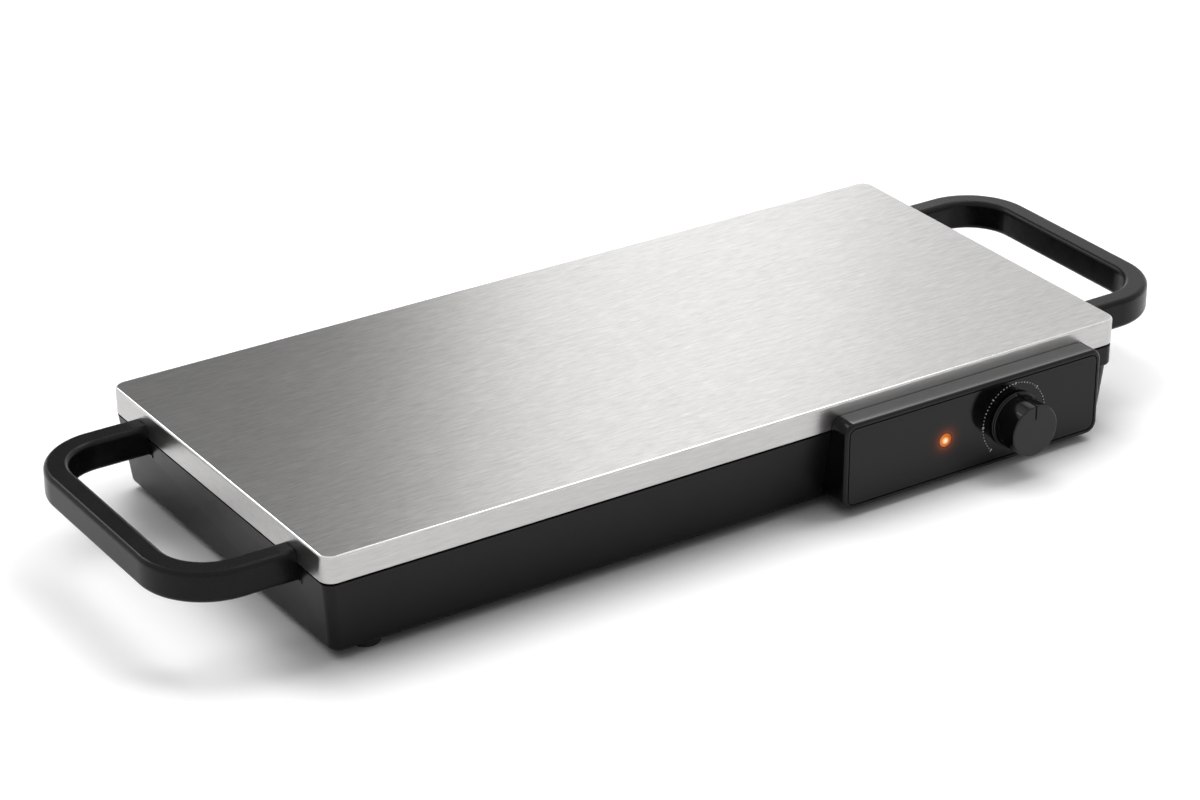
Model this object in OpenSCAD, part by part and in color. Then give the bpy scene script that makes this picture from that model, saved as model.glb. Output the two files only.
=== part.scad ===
// Electric food warmer tray: brushed steel warming plate on a black moulded base,
// a loop handle at each end and a thermostat dial on the front.
// Origin: on the table under the middle of the whole warmer. +X right, +Y back, +Z up.

/* [Warming plate] */
// Length of the steel warming plate
plate_l = 500; // [460:5:560]
// Width of the warming plate, front to back
plate_w = 230; // [215:5:260]
// Radius of the plate's corners in plan
plate_corner_r = 7; // [5:0.5:9]
// Height of the folded skirt round the plate
skirt_h = 14.8; // [13:0.2:17]
// Thickness of the plate's steel sheet
plate_t = 0.8; // [0.6:0.1:1.1]
// Radius of the rolled edge between the plate and its skirt
plate_edge_r = 1.4; // [1.2:0.1:2]

/* [Base tub] */
// Height of the base from its underside to the shoulder under the skirt
base_h = 42.2; // [40:0.2:48]
// Gap between the skirt's lower edge and the base's shoulder
shoulder_gap = 1.4; // [0.6:0.1:1.6]
// How far the shoulder sits inside the plate's edge
shoulder_in = 0.6; // [0.4:0.1:1]
// How far the foot of the front wall sits inside the plate's edge
front_in = 6.9; // [4:0.1:9]
// How far the foot of the left wall sits inside the plate's edge
left_in = 6.9; // [4:0.1:9]
// How far the foot of the right wall sits inside the plate's edge
right_in = 2; // [1:0.1:6]
// How far the top of the right wall sits inside the plate's edge, behind its collar
right_top_in = 2; // [2:0.1:4]
// How far the foot of the back wall sits inside the plate's edge
back_in = 1.2; // [1:0.1:6]
// Radius of the base's corners in plan
base_corner_r = 5.5; // [4.5:0.5:8]
// Radius of the rounded lower edge
base_edge_r = 2.5; // [1.5:0.5:3.5]
// Thickness of the base's walls
base_wall = 2.5; // [2:0.1:3]
// Thickness of the base's floor
base_floor = 2.5; // [2:0.1:3.5]
// Height of the rim that stands up inside the skirt
rim_h = 8; // [6:0.5:9]
// Thickness of the rim
rim_t = 1.8; // [1.4:0.1:2.2]
// Clearance between the rim and the inside of the skirt
rim_clear = 0.4; // [0.3:0.1:0.6]
// Height of the upright collar round the right end
collar_h = 12.2; // [10:0.1:18]
// Radius of the collar's lower edge
collar_edge_r = 2; // [1:0.5:3]

/* [Feet] */
// Height of the rubber feet under the base
foot_h = 4.6; // [4:0.2:7]
// Radius of a foot at the base
foot_r = 8.5; // [6:0.5:9]
// Radius of a foot at the table
foot_tip_r = 7.6; // [5:0.1:8]
// Distance from the plate's end to a foot's centre
foot_in_x = 31; // [28:1:45]
// Distance from the plate's front or back edge to a foot's centre
foot_in_y = 18; // [18:0.5:26]

/* [Handles] */
// Reach of a handle beyond the plate's end
handle_reach = 67.8; // [55:0.1:80]
// Width of a handle, front to back
handle_w = 174; // [160:1:185]
// Thickness of the handle bar seen from above
bar_w = 13.5; // [11:0.5:15]
// Height of the handle bar
bar_h = 17.5; // [15:0.1:18]
// Inside corner radius of the handle loop
loop_r = 25; // [18:1:30]
// Radius of the handle bar's long edges
bar_edge_r = 3; // [1.5:0.5:4]
// Drop from the plate's top to the handle's top
handle_drop = 7.8; // [7:0.1:11]

/* [Control pod] */
// Length of the control pod
pod_l = 173.8; // [165:0.2:185]
// Distance from the plate's right end to the pod
pod_from_right = 21.8; // [18:0.1:30]
// How far the pod stands in front of the skirt
pod_out = 12.9; // [11:0.1:16]
// Drop from the plate's top to the pod's top
pod_drop = 7.6; // [6:0.1:10]
// Corner radius of the pod's face
pod_corner_r = 6.5; // [4.5:0.5:8]
// Radius of the edge round the pod's face
pod_edge_r = 1.8; // [1:0.1:2.4]
// Thickness of the pod's walls
pod_wall = 2.2; // [1.8:0.1:2.6]
// Width of the frame round the fascia
bezel_w = 2.5; // [2.4:0.1:4]
// Corner radius of the fascia
fascia_corner_r = 4; // [3:0.5:6]
// Thickness of the fascia
fascia_t = 1.2; // [1:0.1:1.6]
// Width of the groove round the fascia
groove_w = 0.6; // [0.4:0.1:1]

/* [Dial and lamp] */
// Height of the dial and lamp above the table
dial_z = 29; // [27:0.1:31]
// Distance from the pod's right side to the dial's axis
dial_from_right = 59.9; // [52:0.1:64]
// Distance from the dial's axis to the lamp
lamp_from_dial = 46.8; // [42:0.1:54]
// Diameter of the lamp lens
lens_d = 8; // [6:0.2:10]
// Diameter of the knob
knob_d = 30; // [26:0.5:33]
// Diameter of the flange at the back of the knob
knob_flange_d = 32.6; // [28:0.2:35]
// Thickness of the knob's flange
knob_flange_t = 1.4; // [1:0.1:3]
// How far the step in front of the flange stands out from the knob's side
knob_step_out = 0.4; // [0.2:0.1:0.8]
// Thickness of the step in front of the flange
knob_step_t = 1.1; // [0.6:0.1:2]
// Distance from the fascia to the front of the knob
knob_out = 18.3; // [16:0.1:22]
// Gap between the fascia and the knob's flange
knob_gap = 0.4; // [0.3:0.1:0.8]
// Width of the pointer groove in the knob
pointer_w = 0.9; // [0.6:0.1:1.6]
// Length of the pointer groove over the knob's face
pointer_l = 8; // [5:0.1:9]
// Radius of the ring of dial marks
dial_ring_r = 21.2; // [19:0.1:23]
// Angle between the first and the last dial mark
dial_sweep = 270; // [240:15:300]
// Number of steps between the first and the last dial mark
dial_steps = 48; // [32:16:48]
// Diameter of a small dial dot
dot_d = 0.7; // [0.5:0.1:1]
// Radius of the thermostat's spindle
spindle_r = 3; // [2.8:0.1:3.2]
// Radial running clearance of the spindle in its bush
spindle_fit = 0.05; // [0.02:0.01:0.09]

/* [Heater] */
// Distance from the plate's end to the heater's sheets
heater_end = 30; // [28:1:40]
// Distance from the plate's front or back edge to the heater's sheets
heater_side = 25; // [24:1:32]
// Thickness of the aluminium heat spreader
spreader_t = 1.5; // [1:0.1:2]
// Thickness of each mica sheet
mica_t = 0.5; // [0.4:0.1:0.8]
// Thickness of the heating ribbon
ribbon_t = 0.3; // [0.2:0.1:0.5]
// Width of the heating ribbon
ribbon_w = 4; // [3:0.5:5]
// Passes of the heating ribbon across the plate
ribbon_passes = 10; // [8:2:10]
// Distance from the mica's edge to the ribbon's outer pass
ribbon_edge = 9; // [8:0.5:12]
// Thickness of the steel clamp plate
clamp_t = 1; // [0.8:0.1:1.4]
// Thickness of the insulation blanket
blanket_t = 12; // [10:0.5:12.5]
// Thickness of the heat shield
shield_t = 0.6; // [0.5:0.1:1]
// Columns of clamp studs
stud_columns = 4; // [3:1:5]
// Distance from the mica's end to the first clamp stud
stud_end = 20; // [16:1:30]
// Radius of a clamp stud
stud_r = 2; // [1.8:0.1:2.2]

/* [Power inlet] */
// Distance from the plate's right end to the inlet's centre
inlet_from_right = 60; // [50:1:90]
// Height of the inlet's centre above the table
inlet_z = 27; // [25:0.5:29]
// Length of the inlet's flange
inlet_flange_l = 50; // [49:0.5:53]
// Height of the inlet's flange
inlet_flange_h = 25; // [24:0.5:28]
// Thickness of the inlet's flange
inlet_flange_t = 2; // [1.8:0.1:3]
// Depth of the inlet's socket
socket_depth = 17; // [15:0.5:19]

/* [Hidden] */
$fn = 64;

// Colours of the finishes
steel = [0.74, 0.74, 0.73];
zinc = [0.68, 0.69, 0.7];
aluminium = [0.8, 0.8, 0.81];
brass = [0.78, 0.63, 0.3];
mica = [0.72, 0.62, 0.42];
wool = [0.85, 0.83, 0.76];
black = [0.06, 0.06, 0.06];
soft_black = [0.09, 0.09, 0.09];
rubber = [0.05, 0.05, 0.05];
mark_grey = [0.75, 0.75, 0.75];
orange = [1, 0.42, 0.12];
cream = [0.9, 0.87, 0.78];

// Levels above the table, from the underside of the base up
base_z = foot_h;
floor_z = base_z + base_floor;
shoulder_z = base_z + base_h;
skirt_z = shoulder_z + shoulder_gap;
top_z = skirt_z + skirt_h;
sheet_z = top_z - plate_t;
spreader_z = sheet_z - spreader_t;
upper_mica_z = spreader_z - mica_t;
ribbon_z = upper_mica_z - ribbon_t;
lower_mica_z = ribbon_z - mica_t;
clamp_z = lower_mica_z - clamp_t;
blanket_z = clamp_z - blanket_t;
shield_z = blanket_z - shield_t;

// Ends and sides of the plate
end_x = plate_l / 2;
side_y = plate_w / 2;
// Air between a part and its neighbour where nothing bears on it
air = 0.3;
// Radial clearance of a screw's thread drawn as a plain shank
thread_fit = 0.05;
// Overshoot of a cut past the face it opens
over = 1;
// Thickness of the slabs that shape the base
slab = 0.01;

// Plate fixing bushes, towers and long screws
bush_r = 4;
bush_z = shoulder_z + 5;
tower_r = 6;
tower_end_in = 17;
tower_side_in = 16;
tower_y = 60;
base_screw_r = 2;
base_screw_head_r = 3.8;
base_screw_head_h = 3;
base_screw_l = 38;
base_screw_z = bush_z + 6 - base_screw_l;
tower_places = [
    for (sx = [-1, 1], sy = [-1, 1]) [sx * (end_x - tower_end_in), sy * tower_y],
    for (sy = [-1, 1]) [0, sy * (side_y - tower_side_in)]
];

// Foot bosses and screws
foot_boss_r = 4.5;
foot_boss_h = 8;
foot_screw_r = 1.5;
foot_screw_head_r = 3;
foot_screw_head_h = 1.4;
foot_screw_l = 10;
foot_recess_z = foot_h - 2.4;
foot_places = [for (sx = [-1, 1], sy = [-1, 1]) [sx * (end_x - foot_in_x), sy * (side_y - foot_in_y)]];

// Vent slots in the floor
vent_w = 3;
vent_l = 34;
vent_pitch = 13;
vent_count = 9;
vent_y = 36;

// Heater sheets and clamp studs
heater_l = plate_l - 2 * heater_end;
heater_w = plate_w - 2 * heater_side;
ribbon_pitch = (heater_w - 2 * ribbon_edge) / (ribbon_passes - 1);
ribbon_turn_x = heater_l / 2 - ribbon_edge;
stud_y = 3 * ribbon_pitch;
stud_step = (heater_l - 2 * stud_end) / (stud_columns - 1);
stud_places = [
    for (i = [0 : stud_columns - 1], sy = [-1, 1]) [i * stud_step - heater_l / 2 + stud_end, sy * stud_y]
];
stud_hole_r = stud_r + 0.4;
spacer_r = 4;
washer_t = 0.8;
nut_t = 3.2;
nut_af = 7;
stud_tip = 1.4;
tab_w = 6;
tab_t = 0.8;
tab_x = heater_l / 2 + 3;
tab_drop = 19;
tab_y = (ribbon_passes - 1) / 2 * ribbon_pitch;

// Handles
handle_z = top_z - handle_drop - bar_h;
arm_y = handle_w / 2 - bar_w / 2;
bend_r = loop_r + bar_w / 2;
bar_x = end_x + handle_reach - bar_w / 2;
handle_seat_x = end_x - shoulder_in;
arm_bolt_z = (handle_z + shoulder_z) / 2;
pad_margin = 0.4;
strap_t = 2;
strap_h = 12;
strap_seat_in = 6;
strap_over = 10;
arm_bolt_r = 2.5;
arm_bolt_head_r = 4.4;
arm_bolt_head_h = 2.8;
arm_bolt_l = 22;
arm_washer_r = 5;
arm_washer_t = 1;
insert_r = 3.6;
insert_l = 12;
insert_in = 2.5;

// Control pod
pod_x1 = end_x - pod_from_right;
pod_x0 = pod_x1 - pod_l;
pod_mid_x = (pod_x0 + pod_x1) / 2;
pod_z1 = top_z - pod_drop;
pod_h = pod_z1 - base_z;
pod_mid_z = base_z + pod_h / 2;
face_y = -side_y - pod_out;
pod_front_y = face_y + fascia_t;
pod_inner_y = pod_front_y + pod_wall;
fascia_l = pod_l - 2 * (bezel_w + groove_w);
fascia_h = pod_h - 2 * (bezel_w + groove_w);
window_margin = 4;
pod_boss_r = 3.5;
pod_boss_in_x = 11;
pod_boss_in_z = 10;
pod_screw_r = 1.5;
pod_screw_head_r = 3;
pod_screw_head_h = 2.2;
pod_screw_l = 18;
pod_seat_y = -side_y + front_in + base_wall + 1.2;
pod_boss_places = [
    for (sx = [-1, 1], sz = [-1, 1])
        [pod_mid_x + sx * (pod_l / 2 - pod_boss_in_x), pod_mid_z + sz * (pod_h / 2 - pod_boss_in_z)]
];

// Dial, thermostat and lamp
dial_x = pod_x1 - dial_from_right;
lamp_x = dial_x - lamp_from_dial;
frame_l = 40;
frame_h = 30;
frame_t = 1.5;
bush_nut_t = 2;
bush_nut_af = 14;
bush_thread_r = 5;
bush_end_y = face_y - bush_nut_t - 0.6;
body_l = 34;
body_h = 28;
body_d = 24;
body_y = pod_inner_y + frame_t;
spindle_end_y = body_y + 18;
knob_back_y = face_y - knob_gap;
knob_depth = knob_out - knob_gap;
knob_edge_r = 0.8;
knob_cavity_r = 9.5;
knob_cavity_h = 4;
knob_taper = 0.4;
bore_depth = 13;
flat_cut = 0.8;
spring_t = 0.4;
pointer_cut = 0.7;
mark_t = 0.12;
mark_step = dial_sweep / dial_steps;
lens_head_t = 1.2;
lens_stem_r = lens_d / 2 - 0.6;
lens_hole_r = lens_stem_r + 0.1;
lamp_body_r = 5;
lamp_body_l = 12;
retainer_t = 1;
retainer_r = 6.5;

// Thermostat tabs, sensing bulb and capillary
blade_w = 5;
blade_t = 0.8;
blade_l = 8;
blade_gap = 14;
bulb_r = 3;
bulb_l = 60;
bulb_x = 70;
bulb_y = 0;
bulb_z = clamp_z - air - bulb_r;
clip_t = 0.6;
clip_l = 12;
pocket_l = 84;
pocket_w = 16;
capillary_r = 0.8;
capillary_x = bulb_x + bulb_l / 2;
capillary_hole_r = 3;

// Thermal fuse under the shield
fuse_r = 2.2;
fuse_l = 20;
fuse_x = 130;
fuse_in = 28;
fuse_y = fuse_in - heater_w / 2;
fuse_clip_l = 8;
fuse_z = shield_z - clip_t - fuse_r - air;

// Terminal block
block_l = 36;
block_w = 20;
block_h = 16;
block_x = 130;
block_in = 71;
block_y = side_y - block_in;
block_end = 5;
way_pitch = 7;
way_r = 1.8;
way_z = 5;
block_screw_r = 1.5;
block_boss_r = 4;
block_boss_h = 3;
block_z = floor_z + block_boss_h;

// Power inlet
inlet_x = end_x - inlet_from_right;
inlet_seat_y = side_y - shoulder_in;
inlet_body_l = 27;
inlet_body_h = 19.6;
inlet_body_d = 20;
inlet_corner_r = 3;
socket_l = 23.6;
socket_h = 16.2;
inlet_hole_pitch = 40;
inlet_screw_r = 1.5;
inlet_screw_head_r = 2.8;
inlet_pad_margin = 2;
pin_w = 4;
pin_t = 2;
pin_pitch = 7;
pin_earth_z = 4;
pin_line_z = -2;
pin_free = 5.5;
pin_tail = 9;
inlet_back_y = inlet_seat_y - inlet_body_d;
pin_tip_y = inlet_seat_y + inlet_flange_t - pin_free;
pin_tail_y = inlet_back_y - pin_tail;
// Middle of the whole warmer, seen from the plate's centre: the knob's face is its front, the inlet its back
middle_y = (face_y - knob_out + inlet_seat_y + inlet_flange_t) / 2;
window_fit = 0.2;

// Insulated leads lie on the floor of the base
lead_r = 1.5;
lead_sides = 8;
lead_steps = 5;
lead_floor_z = floor_z + lead_r + 3 * air;
lamp_lead_r = 0.9;
// Straight run of a lead off the piece it ends on
lead_end = 7;
// Turn of a lead where it leaves its straight run
lead_turn = 12;
// Wide bow of a lead round its neighbours
lead_bow = 22;
// Drop of a lead between two pieces it joins
lead_sag = 10;

// Inset of the base's outer wall at height z, between its inset at the foot and at the top
function wall_in(foot_in, z, top_in = shoulder_in) = foot_in + (top_in - foot_in) * (z - base_z) / base_h;

// Direction of v with length one
function unit(v) = v / norm(v);
// Point at share t of the smooth curve through b and c, led in by a and out by d
function curve_point(a, b, c, d, t) =
    0.5 * (2 * b + (c - a) * t + (2 * a - 5 * b + 4 * c - d) * t * t + (3 * b - a - 3 * c + d) * t * t * t);
// Smooth route through the points of p, with its first and last stretch straight
function smooth_route(p) = [
    p[0],
    for (i = [1 : len(p) - 3], s = [0 : lead_steps - 1])
        curve_point(p[i - 1], p[i], p[i + 1], p[i + 2], s / lead_steps),
    p[len(p) - 2],
    p[len(p) - 1]
];
// Direction of the route p at its point i
function heading(p, i) =
    i == 0 ? unit(p[1] - p[0])
    : i == len(p) - 1 ? unit(p[i] - p[i - 1])
    : unit(unit(p[i] - p[i - 1]) + unit(p[i + 1] - p[i]));
// Side vector n carried along to the direction t
function carried(n, t) = unit(n - (n * t) * t);
// Side vectors for every point of the route p from point i on
function side_vectors(p, i, n) =
    i == len(p) ? [] : let (m = carried(n, heading(p, i))) concat([m], side_vectors(p, i + 1, m));

// Moves a part so that the origin lies under the middle of the whole warmer
module centred() {
    translate([0, -middle_y, 0])
        children();
}

// Round tube of radius r along the smooth route through points
module tube(points, r, side = [0.31, 0.17, 0.93]) {
    route = smooth_route(points);
    sides = side_vectors(route, 0, side);
    rings = [
        for (i = [0 : len(route) - 1], k = [0 : lead_sides - 1])
            let (a = 360 * k / lead_sides, up = cross(heading(route, i), sides[i]))
                route[i] + r * (cos(a) * sides[i] + sin(a) * up)
    ];
    last = (len(route) - 1) * lead_sides;
    walls = [
        for (i = [0 : len(route) - 2], k = [0 : lead_sides - 1])
            let (a = i * lead_sides + k, b = i * lead_sides + (k + 1) % lead_sides)
                for (f = [[a, a + lead_sides, b], [b, a + lead_sides, b + lead_sides]]) f
    ];
    ends = [[for (k = [0 : lead_sides - 1]) k], [for (k = [lead_sides - 1 : -1 : 0]) last + k]];
    polyhedron(rings, concat(walls, ends));
}

// Flat outline with round corners
module rounded_rect(l, w, r) {
    square([l - 2 * r, w], center = true);
    square([l, w - 2 * r], center = true);
    for (sx = [-1, 1], sy = [-1, 1])
        translate([sx * (l / 2 - r), sy * (w / 2 - r)])
            circle(r);
}

// Ring between two round-cornered outlines
module rounded_ring(l, w, r, t) {
    difference() {
        rounded_rect(l, w, r);
        rounded_rect(l - 2 * t, w - 2 * t, r - t);
    }
}

// Upright section of a block's edge, rolled over at the top with radius e
module edge_section(r, h, e) {
    square([r - e, h]);
    square([r, h - e]);
    translate([r - e, h - e])
        circle(e);
}

// Block with round corners in plan and a rolled top edge
module rolled_block(l, w, r, h, e) {
    for (sx = [0, 1], sy = [0, 1])
        mirror([sx, 0, 0])
            mirror([0, sy, 0])
                translate([l / 2 - r, w / 2 - r, 0])
                    rotate_extrude(angle = 90)
                        edge_section(r, h, e);
    for (s = [0, 1])
        mirror([s, 0, 0])
            translate([l / 2 - r, w / 2 - r, 0])
                rotate([90, 0, 0])
                    linear_extrude(w - 2 * r)
                        edge_section(r, h, e);
    for (s = [0, 1])
        mirror([0, s, 0])
            translate([r - l / 2, w / 2 - r, 0])
                rotate([90, 0, 90])
                    linear_extrude(l - 2 * r)
                        edge_section(r, h, e);
    translate([r - l / 2, r - w / 2, 0])
        cube([l - 2 * r, w - 2 * r, h]);
}

// Cylinder whose axis runs along +Y from its start
module rod_y(r, l) {
    rotate([-90, 0, 0])
        cylinder(r = r, h = l);
}

// Cylinder whose axis runs along +X from its start
module rod_x(r, l) {
    rotate([0, 90, 0])
        cylinder(r = r, h = l);
}

// Six-sided nut with a round hole
module hex_nut(af, t, hole_r) {
    difference() {
        cylinder(d = af / cos(30), h = t, $fn = 6);
        translate([0, 0, -over])
            cylinder(r = hole_r, h = t + 2 * over);
    }
}

module warming_plate() {
    color(steel) centred()
        difference() {
            translate([0, 0, skirt_z])
                rolled_block(plate_l, plate_w, plate_corner_r, skirt_h, plate_edge_r);
            translate([0, 0, skirt_z - over])
                linear_extrude(skirt_h - plate_t + over)
                    rounded_rect(plate_l - 2 * plate_t, plate_w - 2 * plate_t, plate_corner_r - plate_t);
        }
}

// Threaded bushes welded under the plate, one on each tower
module plate_bushes() {
    color(zinc) centred()
        for (p = tower_places)
            translate([p[0], p[1], bush_z])
                difference() {
                    cylinder(r = bush_r, h = sheet_z - bush_z);
                    translate([0, 0, -over])
                        cylinder(r = base_screw_r + thread_fit, h = 8 + over);
                }
}

// Studs welded under the plate, which hold the heater's layers
module clamp_studs() {
    color(zinc) centred()
        for (p = stud_places)
            translate([p[0], p[1], shield_z - washer_t - nut_t - stud_tip])
                cylinder(r = stud_r, h = sheet_z - shield_z + washer_t + nut_t + stud_tip);
}

// Flat sheet of the heater's size with holes for the studs
module heater_sheet(z, t) {
    translate([0, 0, z])
        linear_extrude(t)
            difference() {
                square([heater_l, heater_w], center = true);
                for (p = stud_places)
                    translate(p)
                        circle(stud_hole_r);
            }
}

module heat_spreader() {
    color(aluminium) centred()
        heater_sheet(spreader_z, spreader_t);
}

module upper_mica() {
    color(mica) centred()
        heater_sheet(upper_mica_z, mica_t);
}

module lower_mica() {
    color(mica) centred()
        heater_sheet(lower_mica_z, mica_t);
}

// Resistance ribbon laid to and fro between the mica sheets, both ends out at the right
module heating_ribbon() {
    color(zinc) centred()
        translate([0, 0, ribbon_z])
            linear_extrude(ribbon_t) {
                for (i = [0 : ribbon_passes - 1])
                    translate([-ribbon_turn_x, i * ribbon_pitch - tab_y - ribbon_w / 2])
                        square([2 * ribbon_turn_x, ribbon_w]);
                for (i = [0 : ribbon_passes - 2])
                    translate([i % 2 == 0 ? -ribbon_turn_x : ribbon_turn_x - ribbon_w,
                        i * ribbon_pitch - tab_y])
                        square([ribbon_w, ribbon_pitch]);
                for (s = [-1, 1])
                    translate([ribbon_turn_x - over, s * tab_y - ribbon_w / 2])
                        square([tab_x + tab_t - ribbon_turn_x + over, ribbon_w]);
            }
}

// Connection tabs that bring the ribbon's ends down past the insulation
module element_tabs() {
    color(zinc) centred()
        for (s = [-1, 1])
            translate([tab_x, s * tab_y - tab_w / 2, ribbon_z - tab_drop])
                cube([tab_t, tab_w, tab_drop]);
}

module clamp_plate() {
    color(zinc) centred()
        heater_sheet(clamp_z, clamp_t);
}

// Mineral wool blanket with clear holes for the spacers and a pocket for the sensing bulb
module insulation_blanket() {
    color(wool) centred()
        translate([0, 0, blanket_z])
            linear_extrude(blanket_t)
                difference() {
                    square([heater_l, heater_w], center = true);
                    for (p = stud_places)
                        translate(p)
                            circle(spacer_r + air);
                    translate([bulb_x, bulb_y])
                        square([pocket_l, pocket_w], center = true);
                }
}

module spacer_tubes() {
    color(zinc) centred()
        for (p = stud_places)
            translate([p[0], p[1], blanket_z])
                difference() {
                    cylinder(r = spacer_r, h = blanket_t);
                    translate([0, 0, -over])
                        cylinder(r = stud_hole_r, h = blanket_t + 2 * over);
                }
}

module heat_shield() {
    color(zinc) centred()
        difference() {
            heater_sheet(shield_z, shield_t);
            translate([capillary_x, bulb_y, shield_z - over])
                cylinder(r = capillary_hole_r, h = shield_t + 2 * over);
        }
}

module clamp_washers() {
    color(zinc) centred()
        for (p = stud_places)
            translate([p[0], p[1], shield_z - washer_t])
                difference() {
                    cylinder(r = stud_r + 3, h = washer_t);
                    translate([0, 0, -over])
                        cylinder(r = stud_r + 0.2, h = washer_t + 2 * over);
                }
}

module clamp_nuts() {
    color(zinc) centred()
        for (p = stud_places)
            translate([p[0], p[1], shield_z - washer_t - nut_t])
                hex_nut(nut_af, nut_t, stud_r + thread_fit);
}

// Level slice of the base's form at height z, drawn in by extra on every side
module base_slice(z, extra, r) {
    left = wall_in(left_in, z) + extra;
    right = wall_in(right_in, z, right_top_in) + extra;
    front = wall_in(front_in, z) + extra;
    back = wall_in(back_in, z) + extra;
    translate([(left - right) / 2, (front - back) / 2, z])
        linear_extrude(slab)
            rounded_rect(plate_l - left - right, plate_w - front - back, r, $fn = 32);
}

// Outer form of the base: sloping walls and a rounded lower edge
module base_form() {
    hull() {
        base_slice(shoulder_z - slab, 0, base_corner_r);
        for (a = [0 : 30 : 90])
            base_slice(base_z + base_edge_r * (1 - sin(a)), base_edge_r * (1 - cos(a)),
                base_corner_r - base_edge_r * (1 - cos(a)));
    }
}

// Space inside the base's walls, open at the top
module base_cavity() {
    hull() {
        base_slice(shoulder_z + over, base_wall, base_corner_r - base_wall);
        base_slice(floor_z, base_wall, base_corner_r - base_wall);
    }
}

// Upright collar round the right end, between the pod and the back corner, with a rounded lower edge
module end_collar() {
    intersection() {
        translate([0, 0, shoulder_z])
            mirror([0, 0, 1])
                rolled_block(plate_l - 2 * shoulder_in, plate_w - 2 * shoulder_in, base_corner_r, collar_h,
                    collar_edge_r);
        translate([pod_x1 + air, -side_y, shoulder_z - collar_h])
            cube([end_x, plate_w, collar_h]);
    }
}

// Outer pads that a handle's arms bear on
module handle_pads(s) {
    for (sy = [-1, 1])
        translate([s > 0 ? handle_seat_x - 6 : -handle_seat_x, sy * arm_y - bar_w / 2 + pad_margin,
            handle_z + pad_margin])
            cube([6, bar_w - 2 * pad_margin, shoulder_z - handle_z - pad_margin]);
}

// Inner pads that a handle's strap bears on
module strap_pads(s) {
    depth = strap_seat_in - shoulder_in - 1;
    for (sy = [-1, 1])
        translate([s > 0 ? end_x - strap_seat_in : strap_seat_in - depth - end_x, sy * arm_y - bar_w / 2,
            arm_bolt_z - strap_h / 2])
            cube([depth, bar_w, min(strap_h, shoulder_z - arm_bolt_z + strap_h / 2)]);
}

// Inner pads that the pod's screws bear on
module pod_seats() {
    for (p = pod_boss_places) {
        wall_y = wall_in(front_in, p[1]) - side_y;
        translate([p[0], wall_y + 1, p[1]])
            rod_y(pod_screw_head_r + 1.5, pod_seat_y - wall_y - 1);
    }
}

// Hollow towers that carry the plate and let its screws in from below
module towers() {
    for (p = tower_places)
        translate([p[0], p[1], floor_z - 1])
            cylinder(r = tower_r, h = bush_z - floor_z + 1);
}

module tower_holes() {
    for (p = tower_places)
        translate([p[0], p[1], 0]) {
            translate([0, 0, base_z - over])
                cylinder(r = base_screw_head_r + 0.4, h = base_screw_z - base_z + over);
            translate([0, 0, base_z])
                cylinder(r = base_screw_r + 0.3, h = bush_z - base_z + over);
        }
}

module foot_bosses() {
    for (p = foot_places)
        translate([p[0], p[1], floor_z - 1])
            cylinder(r = foot_boss_r, h = foot_boss_h + 1);
    for (sx = [-1, 1])
        translate([block_x + sx * (block_l / 2 - block_end), block_y, floor_z - 1])
            cylinder(r = block_boss_r, h = block_boss_h + 1);
}

module floor_holes() {
    for (p = foot_places)
        translate([p[0], p[1], base_z - over])
            cylinder(r = foot_screw_r + thread_fit, h = base_floor + foot_boss_h);
    for (sx = [-1, 1])
        translate([block_x + sx * (block_l / 2 - block_end), block_y, floor_z - 1])
            cylinder(r = block_screw_r + thread_fit, h = block_boss_h + 1 + over);
    for (i = [0 : vent_count - 1], s = [-1, 1])
        translate([(i - (vent_count - 1) / 2) * vent_pitch, s * vent_y, base_z - over])
            linear_extrude(base_floor + 2 * over) {
                square([vent_w, vent_l - vent_w], center = true);
                for (e = [-1, 1])
                    translate([0, e * (vent_l - vent_w) / 2])
                        circle(d = vent_w);
            }
}

// Window in the front wall for the thermostat and the lamp's leads
module pod_window() {
    x0 = lamp_x - lamp_body_r - window_margin;
    x1 = dial_x + body_l / 2 + window_margin;
    z0 = dial_z - body_h / 2 - 2;
    translate([x0, -side_y - over, z0])
        cube([x1 - x0, front_in + base_wall + 2 * over, body_h + 4]);
}

module inlet_window() {
    translate([inlet_x - inlet_body_l / 2 - window_fit, inlet_seat_y - 14, inlet_z - inlet_body_h / 2 - window_fit])
        cube([inlet_body_l + 2 * window_fit, 14 + over, inlet_body_h + 2 * window_fit]);
    for (s = [-1, 1])
        translate([inlet_x + s * inlet_hole_pitch / 2, inlet_seat_y - 14, inlet_z])
            rod_y(inlet_screw_r + 0.2, 14 + over);
}

// Flat pad on the back wall under the inlet's flange
module inlet_pad() {
    l = inlet_flange_l + 2 * inlet_pad_margin;
    h = inlet_flange_h + 2 * inlet_pad_margin;
    translate([inlet_x, inlet_seat_y, inlet_z])
        rotate([90, 0, 0])
            linear_extrude(back_in + base_wall)
                rounded_rect(l, h, inlet_corner_r + inlet_pad_margin);
}

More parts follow.
